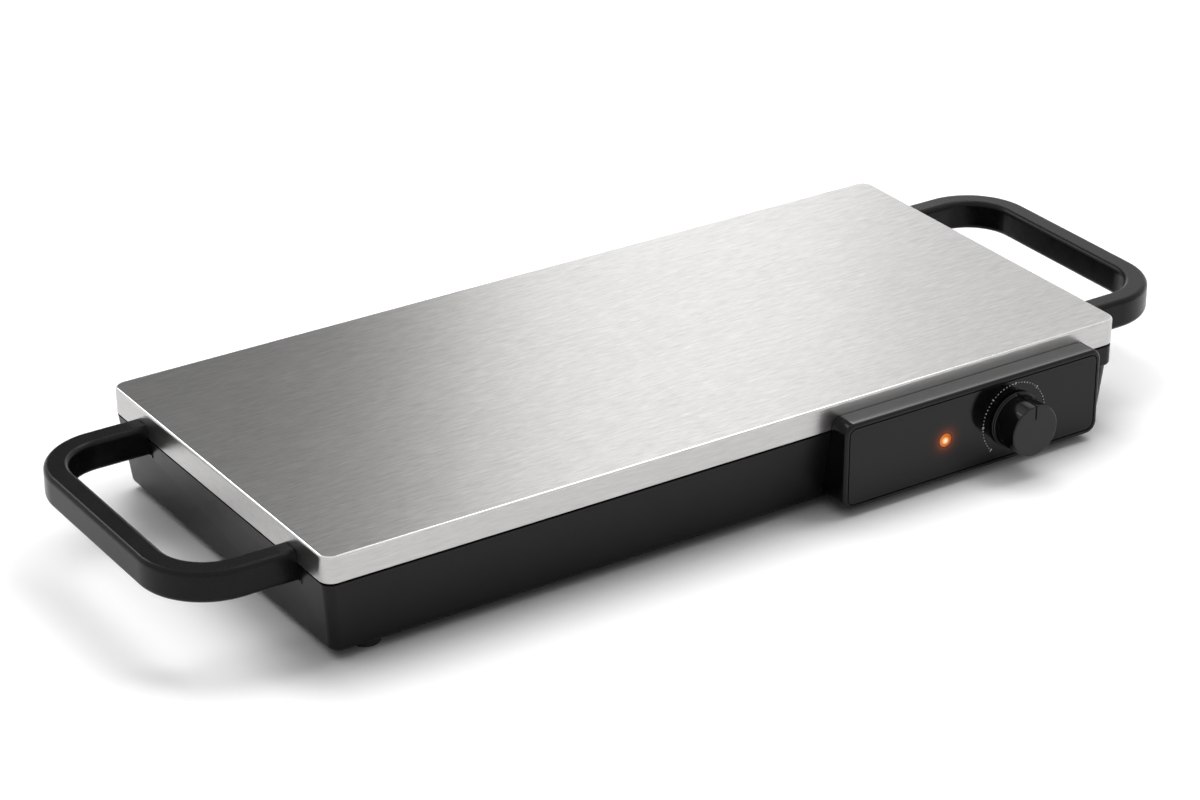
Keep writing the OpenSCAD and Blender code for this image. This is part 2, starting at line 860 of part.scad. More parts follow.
module base_tub() {
    color(black) centred()
        difference() {
            union() {
                difference() {
                    union() {
                        base_form();
                        end_collar();
                        handle_pads(-1);
                        handle_pads(1);
                    }
                    base_cavity();
                }
                translate([0, 0, shoulder_z])
                    linear_extrude(rim_h)
                        rounded_ring(plate_l - 2 * (plate_t + rim_clear),
                            plate_w - 2 * (plate_t + rim_clear), base_corner_r, rim_t);
                inlet_pad();
                strap_pads(-1);
                strap_pads(1);
                pod_seats();
                towers();
                foot_bosses();
            }
            tower_holes();
            floor_holes();
            pod_window();
            inlet_window();
            for (p = pod_boss_places)
                translate([p[0], -side_y - over, p[1]])
                    rod_y(pod_screw_r + 0.3, pod_seat_y + side_y + 2 * over);
            for (sx = [-1, 1], sy = [-1, 1])
                translate([sx > 0 ? end_x - strap_seat_in - over : -end_x - over, sy * arm_y, arm_bolt_z])
                    rod_x(arm_bolt_r + 0.25, strap_seat_in + 2 * over);
        }
}

module base_screws() {
    color(zinc) centred()
        for (p = tower_places)
            translate([p[0], p[1], base_screw_z]) {
                cylinder(r = base_screw_r, h = base_screw_l);
                translate([0, 0, -base_screw_head_h])
                    difference() {
                        cylinder(r = base_screw_head_r, h = base_screw_head_h);
                        translate([-base_screw_head_r, -0.5, -over])
                            cube([2 * base_screw_head_r, 1, 1.4 + over]);
                    }
            }
}

module rubber_feet() {
    color(rubber) centred()
        for (p = foot_places)
            translate([p[0], p[1], 0])
                difference() {
                    cylinder(r1 = foot_tip_r, r2 = foot_r, h = foot_h);
                    translate([0, 0, -over])
                        cylinder(r = foot_screw_head_r + 0.4, h = foot_recess_z + over);
                    cylinder(r = foot_screw_r + 0.3, h = foot_h + over);
                }
}

module foot_screws() {
    color(zinc) centred()
        for (p = foot_places)
            translate([p[0], p[1], foot_recess_z]) {
                cylinder(r = foot_screw_r, h = foot_screw_l);
                translate([0, 0, -foot_screw_head_h])
                    cylinder(r = foot_screw_head_r, h = foot_screw_head_h);
            }
}

// Section of the handle bar, centred
module bar_section() {
    rounded_rect(bar_w, bar_h, bar_edge_r);
}

// Loop handle at the right end; the left one is its mirror image
module handle_loop() {
    arm_end_x = handle_seat_x;
    bend_x = bar_x - bend_r;
    bend_y = arm_y - bend_r;
    translate([0, 0, handle_z + bar_h / 2])
        difference() {
            union() {
                for (s = [0, 1])
                    mirror([0, s, 0]) {
                        translate([arm_end_x, arm_y, 0])
                            rotate([90, 0, 90])
                                linear_extrude(bend_x - arm_end_x)
                                    bar_section();
                        translate([bend_x, bend_y, 0])
                            rotate_extrude(angle = 90)
                                translate([bend_r, 0])
                                    bar_section();
                    }
                translate([bar_x, bend_y, 0])
                    rotate([90, 0, 0])
                        linear_extrude(2 * bend_y)
                            bar_section();
            }
            for (s = [-1, 1]) {
                translate([arm_end_x - over, s * arm_y - bar_w, shoulder_z - air - handle_z - bar_h / 2])
                    cube([end_x + air - arm_end_x + over, 2 * bar_w, bar_h]);
                translate([arm_end_x - over, s * arm_y, arm_bolt_z - handle_z - bar_h / 2])
                    rod_x(insert_r + thread_fit, insert_in + insert_l + 1 + over);
            }
        }
}

module right_handle() {
    color(soft_black) centred()
        handle_loop();
}

module left_handle() {
    color(soft_black) centred()
        mirror([1, 0, 0])
            handle_loop();
}

// Brass threaded inserts moulded into the arms
module handle_inserts() {
    color(brass) centred()
        for (sx = [0, 1], sy = [-1, 1])
            mirror([sx, 0, 0])
                translate([handle_seat_x + insert_in, sy * arm_y, arm_bolt_z])
                    difference() {
                        rod_x(insert_r, insert_l);
                        translate([-over, 0, 0])
                            rod_x(arm_bolt_r + thread_fit, insert_l + 2 * over);
                    }
}

// Steel strap inside an end wall, which spreads the handle's load
module strap() {
    translate([end_x - strap_seat_in - strap_t, 0, arm_bolt_z])
        difference() {
            translate([0, -arm_y - strap_over, -strap_h / 2])
                cube([strap_t, 2 * (arm_y + strap_over), strap_h]);
            for (sy = [-1, 1])
                translate([-over, sy * arm_y, 0])
                    rod_x(arm_bolt_r + 0.25, strap_t + 2 * over);
        }
}

module right_strap() {
    color(zinc) centred()
        strap();
}

module left_strap() {
    color(zinc) centred()
        mirror([1, 0, 0])
            strap();
}

module handle_washers() {
    color(zinc) centred()
        for (sx = [0, 1], sy = [-1, 1])
            mirror([sx, 0, 0])
                translate([end_x - strap_seat_in - strap_t - arm_washer_t, sy * arm_y, arm_bolt_z])
                    difference() {
                        rod_x(arm_washer_r, arm_washer_t);
                        translate([-over, 0, 0])
                            rod_x(arm_bolt_r + 0.2, arm_washer_t + 2 * over);
                    }
}

module handle_screws() {
    color(zinc) centred()
        for (sx = [0, 1], sy = [-1, 1])
            mirror([sx, 0, 0])
                translate([end_x - strap_seat_in - strap_t - arm_washer_t, sy * arm_y, arm_bolt_z]) {
                    rod_x(arm_bolt_r, arm_bolt_l);
                    translate([-arm_bolt_head_h, 0, 0])
                        rod_x(arm_bolt_head_r, arm_bolt_head_h);
                }
}

// Space taken by the base, the skirt and the air in front of them, seen from the end
module behind_pod(gap) {
    translate([pod_x0 - over, 0, 0])
        rotate([90, 0, 90])
            linear_extrude(pod_l + 2 * over)
                polygon([
                    [-side_y + front_in - gap, base_z - over],
                    [-side_y + front_in - gap, base_z],
                    [-side_y + shoulder_in - gap, shoulder_z],
                    [-side_y - air, shoulder_z],
                    [-side_y - air, top_z],
                    [0, top_z],
                    [0, base_z - over]
                ]);
}

// Moulded housing of the pod: open at the back, with a recess for the fascia
module control_housing() {
    depth = pod_out + front_in;
    color(black) centred()
        difference() {
            union() {
                difference() {
                    translate([pod_mid_x, face_y + depth, pod_mid_z])
                        rotate([90, 0, 0])
                            rolled_block(pod_l, pod_h, pod_corner_r, depth, pod_edge_r);
                    translate([pod_mid_x, pod_inner_y, pod_mid_z])
                        rotate([-90, 0, 0])
                            linear_extrude(depth)
                                rounded_rect(pod_l - 2 * pod_wall, pod_h - 2 * pod_wall,
                                    pod_corner_r - pod_wall);
                    translate([pod_mid_x, face_y - over, pod_mid_z])
                        rotate([-90, 0, 0])
                            linear_extrude(fascia_t + over)
                                rounded_rect(fascia_l + 2 * groove_w, fascia_h + 2 * groove_w,
                                    fascia_corner_r + groove_w);
                }
                for (p = pod_boss_places)
                    translate([p[0], pod_inner_y - 0.5, p[1]])
                        rod_y(pod_boss_r, depth);
            }
            behind_pod(0.1);
            for (p = pod_boss_places)
                translate([p[0], pod_inner_y + 1, p[1]])
                    rod_y(pod_screw_r + thread_fit, depth);
            translate([dial_x, pod_front_y - over, dial_z])
                rod_y(bush_thread_r + 0.2, pod_wall + 2 * over);
            translate([lamp_x, pod_front_y - over, dial_z])
                rod_y(lens_hole_r, pod_wall + 2 * over);
        }
}

module housing_screws() {
    color(zinc) centred()
        for (p = pod_boss_places)
            translate([p[0], pod_seat_y, p[1]]) {
                translate([0, -pod_screw_l, 0])
                    rod_y(pod_screw_r, pod_screw_l);
                rod_y(pod_screw_head_r, pod_screw_head_h);
            }
}

// Flat fascia let into the pod's face
module fascia() {
    color(soft_black) centred()
        difference() {
            translate([pod_mid_x, face_y, pod_mid_z])
                rotate([-90, 0, 0])
                    linear_extrude(fascia_t)
                        rounded_rect(fascia_l, fascia_h, fascia_corner_r);
            translate([dial_x, face_y - over, dial_z])
                rod_y(bush_thread_r + 0.2, fascia_t + 2 * over);
            translate([lamp_x, face_y - over, dial_z])
                rod_y(lens_hole_r, fascia_t + 2 * over);
        }
}

// Printed scale round the knob: dots, a longer bar every sixth of the sweep and large dots between
module dial_marks() {
    major = dial_steps / 6;
    color(mark_grey) centred()
        for (i = [0 : dial_steps])
            translate([dial_x, face_y - mark_t, dial_z])
                rotate([0, i * mark_step - dial_sweep / 2, 0])
                    translate([0, 0, dial_ring_r])
                        if (i % (2 * major) == 0)
                            translate([-dot_d / 2, 0, -dot_d])
                                cube([dot_d, mark_t, 2.4 * dot_d]);
                        else if (i % major == 0)
                            rod_y(dot_d, mark_t);
                        else
                            rod_y(dot_d / 2 + (i % 4 == 0 ? 0.1 : 0), mark_t);
}

// Orange lens of the pilot lamp, pushed in from the front
module lamp_lens() {
    color(orange) centred()
        translate([lamp_x, face_y, dial_z]) {
            rod_y(lens_stem_r, fascia_t + pod_wall);
            intersection() {
                translate([0, lens_d - lens_head_t, 0])
                    sphere(r = sqrt(pow(lens_d / 2, 2) + pow(lens_d - lens_head_t, 2)));
                translate([0, -2 * lens_head_t, 0])
                    rod_y(lens_d / 2, 2 * lens_head_t);
            }
        }
}

// Lamp and its holder behind the lens
module lamp_body() {
    color(cream) centred()
        translate([lamp_x, pod_inner_y, dial_z])
            rod_y(lamp_body_r - 1.2, lamp_body_l);
}

module lamp_retainer() {
    color(zinc) centred()
        translate([lamp_x, pod_inner_y, dial_z])
            difference() {
                rod_y(retainer_r, retainer_t);
                translate([0, -over, 0])
                    rod_y(lamp_body_r - 1.2 + thread_fit, retainer_t + 2 * over);
            }
}

// Steel mounting frame of the thermostat with its threaded bush
module thermostat_frame() {
    color(zinc) centred()
        difference() {
            union() {
                translate([dial_x - frame_l / 2, pod_inner_y, dial_z - frame_h / 2])
                    cube([frame_l, frame_t, frame_h]);
                translate([dial_x, bush_end_y, dial_z])
                    rod_y(bush_thread_r, pod_inner_y - bush_end_y);
            }
            translate([dial_x, bush_end_y - over, dial_z])
                rod_y(spindle_r + spindle_fit, pod_inner_y + frame_t - bush_end_y + 2 * over);
        }
}

module thermostat_body() {
    color(cream) centred()
        difference() {
            translate([dial_x - body_l / 2, body_y, dial_z - body_h / 2])
                cube([body_l, body_d, body_h]);
            translate([dial_x, body_y - over, dial_z])
                rod_y(spindle_r + spindle_fit, spindle_end_y - body_y + over + air);
        }
}

// Two blade terminals at the back of the thermostat
module thermostat_tabs() {
    color(brass) centred()
        for (s = [-1, 1])
            translate([dial_x + s * blade_gap / 2 - blade_t / 2, body_y + body_d, dial_z - blade_w / 2])
                cube([blade_t, blade_l, blade_w]);
}

module bush_nut() {
    color(zinc) centred()
        translate([dial_x, face_y, dial_z])
            rotate([90, 0, 0])
                hex_nut(bush_nut_af, bush_nut_t, bush_thread_r + thread_fit);
}

// Spindle with a flat along its front part
module thermostat_spindle() {
    front_y = knob_back_y - bore_depth + 0.5;
    color(zinc) centred()
        difference() {
            translate([dial_x, front_y, dial_z])
                rod_y(spindle_r, spindle_end_y - front_y);
            translate([dial_x - spindle_r - over, front_y - over, dial_z + spindle_r - flat_cut])
                cube([2 * (spindle_r + over), bush_end_y - front_y, 2 * spindle_r]);
        }
}

// Section of the knob's outside, from its axis out and its back forward
module knob_section() {
    r = knob_d / 2;
    polygon([
        [0, 0],
        [knob_flange_d / 2, 0],
        [knob_flange_d / 2, knob_flange_t],
        [r + knob_taper + knob_step_out, knob_flange_t],
        [r + knob_taper + knob_step_out, knob_flange_t + knob_step_t],
        [r + knob_taper, knob_flange_t + knob_step_t],
        [r, knob_depth - knob_edge_r],
        [r - knob_edge_r, knob_depth - knob_edge_r],
        [r - knob_edge_r, knob_depth],
        [0, knob_depth]
    ]);
    translate([r - knob_edge_r, knob_depth - knob_edge_r])
        intersection() {
            circle(knob_edge_r);
            square(knob_edge_r);
        }
}

module knob() {
    fit = 0.05;
    color(soft_black) centred()
        translate([dial_x, knob_back_y, dial_z])
            rotate([90, 0, 0])
                difference() {
                    rotate_extrude()
                        knob_section();
                    translate([0, 0, -over])
                        cylinder(r = knob_cavity_r, h = knob_cavity_h + over);
                    difference() {
                        cylinder(r = spindle_r + fit, h = bore_depth);
                        translate([-spindle_r - over, spindle_r - flat_cut + spring_t + 2 * fit, -over])
                            cube([2 * (spindle_r + over), 2 * spindle_r, bore_depth + 2 * over]);
                    }
                    translate([-pointer_w / 2, knob_d / 2 - pointer_l, knob_depth - pointer_cut])
                        cube([pointer_w, pointer_l + over, pointer_cut + over]);
                    translate([-pointer_w / 2, knob_d / 2 - pointer_cut, knob_flange_t])
                        cube([pointer_w, pointer_cut + knob_taper + over, knob_depth]);
                }
}

// Leaf spring between the spindle's flat and the knob's bore
module knob_spring() {
    color(zinc) centred()
        translate([dial_x - 1.5, knob_back_y - bore_depth + 0.5, dial_z + spindle_r - flat_cut + 0.05])
            cube([3, bore_depth - knob_cavity_h - 1, spring_t]);
}

module sensing_bulb() {
    color(brass) centred()
        translate([bulb_x - bulb_l / 2, bulb_y, bulb_z])
            rod_x(bulb_r, bulb_l);
}

// Saddle clips that hold the bulb up against the clamp plate
module bulb_clip() {
    r = bulb_r + clip_t + 0.1;
    color(zinc) centred()
        for (s = [-1, 1])
            translate([bulb_x + s * (bulb_l / 2 - clip_l) - clip_l / 2, bulb_y, bulb_z])
                difference() {
                    union() {
                        rod_x(r, clip_l);
                        translate([0, -r, 0])
                            cube([clip_l, 2 * r, clamp_z - bulb_z]);
                    }
                    translate([-over, 0, 0])
                        rod_x(r - clip_t, clip_l + 2 * over);
                    translate([-over, clip_t - r, 0])
                        cube([clip_l + 2 * over, 2 * (r - clip_t), clamp_z - bulb_z + over]);
                }
}

// Fine copper tube between the bulb and the thermostat
module capillary_tube() {
    x = capillary_x;
    back_y = body_y + body_d;
    color(brass) centred()
        tube([
            [x, bulb_y, bulb_z],
            [x + 2, bulb_y, bulb_z],
            [x + 1.6, bulb_y, bulb_z - 5],
            [x, bulb_y, shield_z],
            [x, bulb_y - 4, shield_z - 14],
            [x + 10, bulb_y - 30, shield_z - 22],
            [dial_x - 20, back_y + 34, dial_z - 6],
            [dial_x, back_y + 14, dial_z - 9],
            [dial_x, back_y, dial_z - 9]
        ], capillary_r);
}

module thermal_fuse() {
    color(cream) centred()
        translate([fuse_x - fuse_l / 2, fuse_y, fuse_z])
            rod_x(fuse_r, fuse_l);
}

// Saddle clip that holds the fuse under the heat shield
module fuse_clip() {
    r = fuse_r + clip_t + 0.1;
    color(zinc) centred()
        translate([fuse_x - fuse_clip_l / 2, fuse_y, fuse_z])
            difference() {
                union() {
                    rod_x(r, fuse_clip_l);
                    translate([0, -r, 0])
                        cube([fuse_clip_l, 2 * r, shield_z - fuse_z]);
                }
                translate([-over, 0, 0])
                    rod_x(r - clip_t, fuse_clip_l + 2 * over);
                translate([-over, clip_t - r, 0])
                    cube([fuse_clip_l + 2 * over, 2 * (r - clip_t), shield_z - fuse_z + over]);
            }
}

// Ceramic block with three ways and its two screw holes
module terminal_block() {
    color(cream) centred()
        translate([block_x, block_y, block_z])
            difference() {
                translate([-block_l / 2, -block_w / 2, 0])
                    cube([block_l, block_w, block_h]);
                for (s = [-1, 1])
                    translate([s * (block_l / 2 - block_end), 0, -over])
                        cylinder(r = block_screw_r + 0.3, h = block_h + 2 * over);
                for (i = [-1 : 1])
                    translate([i * way_pitch, 0, block_h - 6])
                        cylinder(r = 2.2, h = 6 + over);
                for (i = [-1 : 1])
                    translate([i * way_pitch, -block_w / 2 - over, way_z])
                        rod_y(way_r, block_w + 2 * over);
            }
}

module block_screws() {
    color(zinc) centred()
        for (s = [-1, 1])
            translate([block_x + s * (block_l / 2 - block_end), block_y, floor_z]) {
                cylinder(r = block_screw_r, h = block_boss_h + block_h);
                translate([0, 0, block_boss_h + block_h])
                    cylinder(r = 2.6, h = 1.8);
            }
}

// Blade outline of an inlet pin in the plane of the flange
module pin_places() {
    for (s = [-1, 1])
        translate([s * pin_pitch, 0, pin_line_z])
            children();
    translate([0, 0, pin_earth_z])
        children();
}

// Appliance inlet with a flange outside the back wall and a socket for the connector
module power_inlet() {
    slot = 0.05;
    color(black) centred()
        translate([inlet_x, inlet_seat_y, inlet_z])
            difference() {
                union() {
                    translate([0, inlet_flange_t, 0])
                        rotate([90, 0, 0])
                            linear_extrude(inlet_flange_t)
                                rounded_rect(inlet_flange_l, inlet_flange_h, inlet_corner_r);
                    translate([-inlet_body_l / 2, -inlet_body_d, -inlet_body_h / 2])
                        cube([inlet_body_l, inlet_body_d + 0.5, inlet_body_h]);
                }
                translate([0, inlet_flange_t + over, 0])
                    rotate([90, 0, 0])
                        linear_extrude(socket_depth + over)
                            rounded_rect(socket_l, socket_h, 1.5);
                for (s = [-1, 1])
                    translate([s * inlet_hole_pitch / 2, 0, 0]) {
                        translate([0, -over, 0])
                            rod_y(inlet_screw_r + 0.2, inlet_flange_t + 2 * over);
                        rotate([-90, 0, 0])
                            cylinder(r1 = inlet_screw_r + 0.1, r2 = inlet_screw_head_r + 0.3,
                                h = inlet_flange_t + slab);
                    }
                pin_places()
                    translate([-pin_t / 2 - slot, -inlet_body_d - over, -pin_w / 2 - slot])
                        cube([pin_t + 2 * slot, inlet_body_d, pin_w + 2 * slot]);
            }
}

module inlet_pins() {
    color(brass) centred()
        translate([inlet_x, 0, inlet_z])
            pin_places()
                translate([-pin_t / 2, pin_tail_y, -pin_w / 2])
                    cube([pin_t, pin_tip_y - pin_tail_y, pin_w]);
}

module inlet_screws() {
    color(zinc) centred()
        for (s = [-1, 1])
            translate([inlet_x + s * inlet_hole_pitch / 2, inlet_seat_y - 9, inlet_z]) {
                rod_y(inlet_screw_r, 9.4);
                translate([0, 9.4, 0])
                    rotate([-90, 0, 0])
                        cylinder(r1 = inlet_screw_r, r2 = inlet_screw_head_r, h = inlet_flange_t - 0.4);
            }
}

// Nuts behind the flat pad
module inlet_nuts() {
    color(zinc) centred()
        for (s = [-1, 1])
            translate([inlet_x + s * inlet_hole_pitch / 2, inlet_seat_y - back_in - base_wall, inlet_z])
                rotate([90, 0, 0])
                    hex_nut(5.5, 2.4, inlet_screw_r + thread_fit);
}

// Live lead: inlet to the thermostat's right blade
module live_lead() {
    x = dial_x + blade_gap / 2;
    y = body_y + body_d + blade_l;
    color([0.45, 0.25, 0.12]) centred()
        tube([
            [inlet_x + pin_pitch, pin_tail_y, inlet_z + pin_line_z],
            [inlet_x + pin_pitch, pin_tail_y - lead_end, inlet_z + pin_line_z],
            [inlet_x + pin_pitch, pin_tail_y - 2 * lead_turn, lead_floor_z + 3],
            [inlet_x + pin_pitch, lead_bow, lead_floor_z],
            [inlet_x, -lead_bow, lead_floor_z],
            [x + 3, y + lead_end + lead_turn, lead_floor_z + 4],
            [x, y + lead_end, dial_z],
            [x, y, dial_z]
        ], lead_r);
}

// Neutral lead: inlet to the terminal block
module neutral_lead() {
    color([0.2, 0.35, 0.75]) centred()
        tube([
            [inlet_x - pin_pitch, pin_tail_y, inlet_z + pin_line_z],
            [inlet_x - pin_pitch, pin_tail_y - lead_end, inlet_z + pin_line_z],
            [inlet_x - lead_bow, pin_tail_y - lead_turn, block_z + 2 * way_z],
            [block_x + way_pitch + 2, block_y + block_w / 2 + lead_end + 4, block_z + way_z],
            [block_x + way_pitch, block_y + block_w / 2 + lead_end, block_z + way_z],
            [block_x + way_pitch, block_y + block_w / 2, block_z + way_z]
        ], lead_r);
}

// Lead from the terminal block to the rear element tab
module element_lead() {
    color([0.2, 0.35, 0.75]) centred()
        tube([
            [block_x + way_pitch, block_y - block_w / 2, block_z + way_z],
            [block_x + way_pitch, block_y - block_w / 2 - lead_end, block_z + way_z],
            [block_x + 3 * lead_turn, block_y - block_w / 2 - lead_end - 2, block_z + way_z + 2],
            [tab_x - lead_bow - 4, tab_y - 2 * lead_bow, lead_floor_z + lead_sag],
            [tab_x - 4, tab_y - lead_bow, lead_floor_z + lead_sag + 4],
            [tab_x + tab_t / 2, tab_y, ribbon_z - tab_drop - lead_end],
            [tab_x + tab_t / 2, tab_y, ribbon_z - tab_drop]
        ], lead_r);
}

// Two stretches of lead: thermostat to fuse, and fuse to the front element tab
module load_lead() {
    x = dial_x - blade_gap / 2;
    y = body_y + body_d + blade_l;
    color([0.75, 0.2, 0.12]) centred() {
        tube([
            [x, y, dial_z],
            [x, y + lead_end, dial_z],
            [x - lead_turn, y + lead_turn, dial_z + 2],
            [fuse_x - fuse_l / 2 - lead_turn, fuse_y - 4, fuse_z - 6],
            [fuse_x - fuse_l / 2 - lead_end, fuse_y, fuse_z],
            [fuse_x - fuse_l / 2, fuse_y, fuse_z]
        ], lead_r);
        tube([
            [fuse_x + fuse_l / 2, fuse_y, fuse_z],
            [fuse_x + fuse_l / 2 + lead_end, fuse_y, fuse_z],
            [fuse_x + fuse_l / 2 + 3 * lead_turn, fuse_y + lead_end, fuse_z - lead_turn],
            [tab_x - lead_turn, lead_turn - tab_y, ribbon_z - tab_drop - lead_end - lead_sag],
            [tab_x + tab_t / 2, -tab_y, ribbon_z - tab_drop - lead_end],
            [tab_x + tab_t / 2, -tab_y, ribbon_z - tab_drop]
        ], lead_r);
    }
}

// Two thin leads from the lamp to the terminal block
module lamp_leads() {
    y = pod_inner_y + lamp_body_l;
    block_front_y = block_y - block_w / 2;
    color([0.8, 0.8, 0.8]) centred()
        for (s = [-1, 1])
            tube([
                [lamp_x + 1.6 * s, y, dial_z],
                [lamp_x + 1.6 * s, y + lead_end, dial_z],
                [lamp_x + 3 * s, y + lead_bow, lead_floor_z + 6],
                [lamp_x + 3 * s - 4, -2 * lead_bow, lead_floor_z],
                [block_x - way_pitch * (s < 0 ? 1 : 0), block_front_y - 2 * lead_end, lead_floor_z + 3],
                [block_x - way_pitch * (s < 0 ? 1 : 0), block_front_y - lead_end, block_z + way_z],
                [block_x - way_pitch * (s < 0 ? 1 : 0), block_front_y, block_z + way_z]
            ], lamp_lead_r);
}

// Earth lead from the inlet to a clamp stud, which carries it to the plate
module earth_lead() {
    p = stud_places[len(stud_places) - 1];
    z = shield_z - washer_t - nut_t - stud_tip;
    color([0.3, 0.6, 0.2]) centred()
        tube([
            [inlet_x, pin_tail_y, inlet_z + pin_earth_z],
            [inlet_x, pin_tail_y - lead_end, inlet_z + pin_earth_z],
            [p[0] - 4, p[1] + 8, z - lead_sag],
            [p[0], p[1], z - lead_end],
            [p[0], p[1], z]
        ], lead_r);
}

warming_plate();
plate_bushes();
clamp_studs();
heat_spreader();
upper_mica();
heating_ribbon();
element_tabs();
lower_mica();
clamp_plate();
insulation_blanket();
spacer_tubes();
heat_shield();
clamp_washers();
clamp_nuts();
base_tub();
base_screws();
rubber_feet();
foot_screws();
left_handle();
right_handle();
handle_inserts();
left_strap();
right_strap();
handle_washers();
handle_screws();
control_housing();
housing_screws();
fascia();
dial_marks();
lamp_lens();
lamp_body();
lamp_retainer();
thermostat_frame();
thermostat_body();
thermostat_tabs();
bush_nut();
thermostat_spindle();
knob();
knob_spring();
capillary_tube();
sensing_bulb();
bulb_clip();
thermal_fuse();
fuse_clip();
terminal_block();
block_screws();
power_inlet();
inlet_pins();
inlet_screws();
inlet_nuts();
live_lead();
neutral_lead();
load_lead();
element_lead();
lamp_leads();
earth_lead();
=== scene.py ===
from math import cos, radians, sin

import bmesh
import bpy
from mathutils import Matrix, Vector


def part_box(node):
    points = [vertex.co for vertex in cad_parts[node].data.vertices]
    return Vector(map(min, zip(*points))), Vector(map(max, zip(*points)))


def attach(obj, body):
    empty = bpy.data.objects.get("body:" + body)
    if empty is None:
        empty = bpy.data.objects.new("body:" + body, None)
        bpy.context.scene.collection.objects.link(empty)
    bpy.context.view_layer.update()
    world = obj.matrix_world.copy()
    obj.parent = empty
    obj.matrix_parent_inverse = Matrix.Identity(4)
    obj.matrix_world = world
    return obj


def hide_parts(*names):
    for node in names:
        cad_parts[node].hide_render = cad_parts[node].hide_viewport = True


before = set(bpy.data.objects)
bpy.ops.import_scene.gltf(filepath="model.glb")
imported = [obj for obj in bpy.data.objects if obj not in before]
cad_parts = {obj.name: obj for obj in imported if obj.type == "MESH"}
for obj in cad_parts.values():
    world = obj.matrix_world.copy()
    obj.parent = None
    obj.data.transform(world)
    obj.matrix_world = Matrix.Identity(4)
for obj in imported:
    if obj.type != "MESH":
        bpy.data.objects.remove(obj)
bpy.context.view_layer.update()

# Camera
# The warmer is seen from its left front and a little above, with a long lens,
# so that its edges run almost parallel.
camera_place = (-0.9783, -1.4493, 0.9113)
camera_turn = radians(56.67)
camera_drop = radians(26.51)
film_width_mm = 36
focal_length_mm = 108.54
sight = Vector((cos(camera_drop) * cos(camera_turn),
                cos(camera_drop) * sin(camera_turn),
                -sin(camera_drop)))
scene = bpy.context.scene
lens = bpy.data.cameras.new("product_camera")
lens.sensor_width = film_width_mm
lens.lens = focal_length_mm
camera = bpy.data.objects.new("product_camera", lens)
camera.location = camera_place
camera.rotation_euler = sight.to_track_quat("-Z", "Y").to_euler()
scene.collection.objects.link(camera)
scene.camera = camera
scene.view_settings.view_transform = "Standard"


# Studio
# A pale table under a strip lamp and a wide soft lamp, with a painted glow that is nil beside the base,
# leaving a painted shadow round it, and rises outwards until the table runs out to white. Cards round
# the warmer show only as reflections in it: a dark and a bright one shade the plate from end to end, and
# two high ones light its rolled edges.
class Wire:
    """A value inside a finish. Arithmetic on it adds the Math nodes."""

    def __init__(self, finish, socket):
        self.finish = finish
        self.socket = socket

    def _math(self, operation, a, b=0.0):
        return self.finish.node("ShaderNodeMath", {"operation": operation}, {0: a, 1: b})

    def __add__(self, other):
        return self._math("ADD", self, other)

    def __radd__(self, other):
        return self._math("ADD", other, self)

    def __sub__(self, other):
        return self._math("SUBTRACT", self, other)

    def __rsub__(self, other):
        return self._math("SUBTRACT", other, self)

    def __mul__(self, other):
        return self._math("MULTIPLY", self, other)

    def __rmul__(self, other):
        return self._math("MULTIPLY", other, self)

    def __truediv__(self, other):
        return self._math("DIVIDE", self, other)

    def __rtruediv__(self, other):
        return self._math("DIVIDE", other, self)

    def __pow__(self, other):
        return self._math("POWER", self, other)

    def __rpow__(self, other):
        return self._math("POWER", other, self)

    def at_most(self, other):
        return self._math("MINIMUM", self, other)

    def at_least(self, other):
        return self._math("MAXIMUM", self, other)

    def without_sign(self):
        return self._math("ABSOLUTE", self)

    def rising(self, start, length):
        """0 up to a start, and 1 from a length beyond it."""
        return ((self - start) / length).at_least(0.0).at_most(1.0)

    def falling(self, end, length):
        """0 beyond an end, and 1 up to a length before it."""
        return ((end - self) / length).at_least(0.0).at_most(1.0)


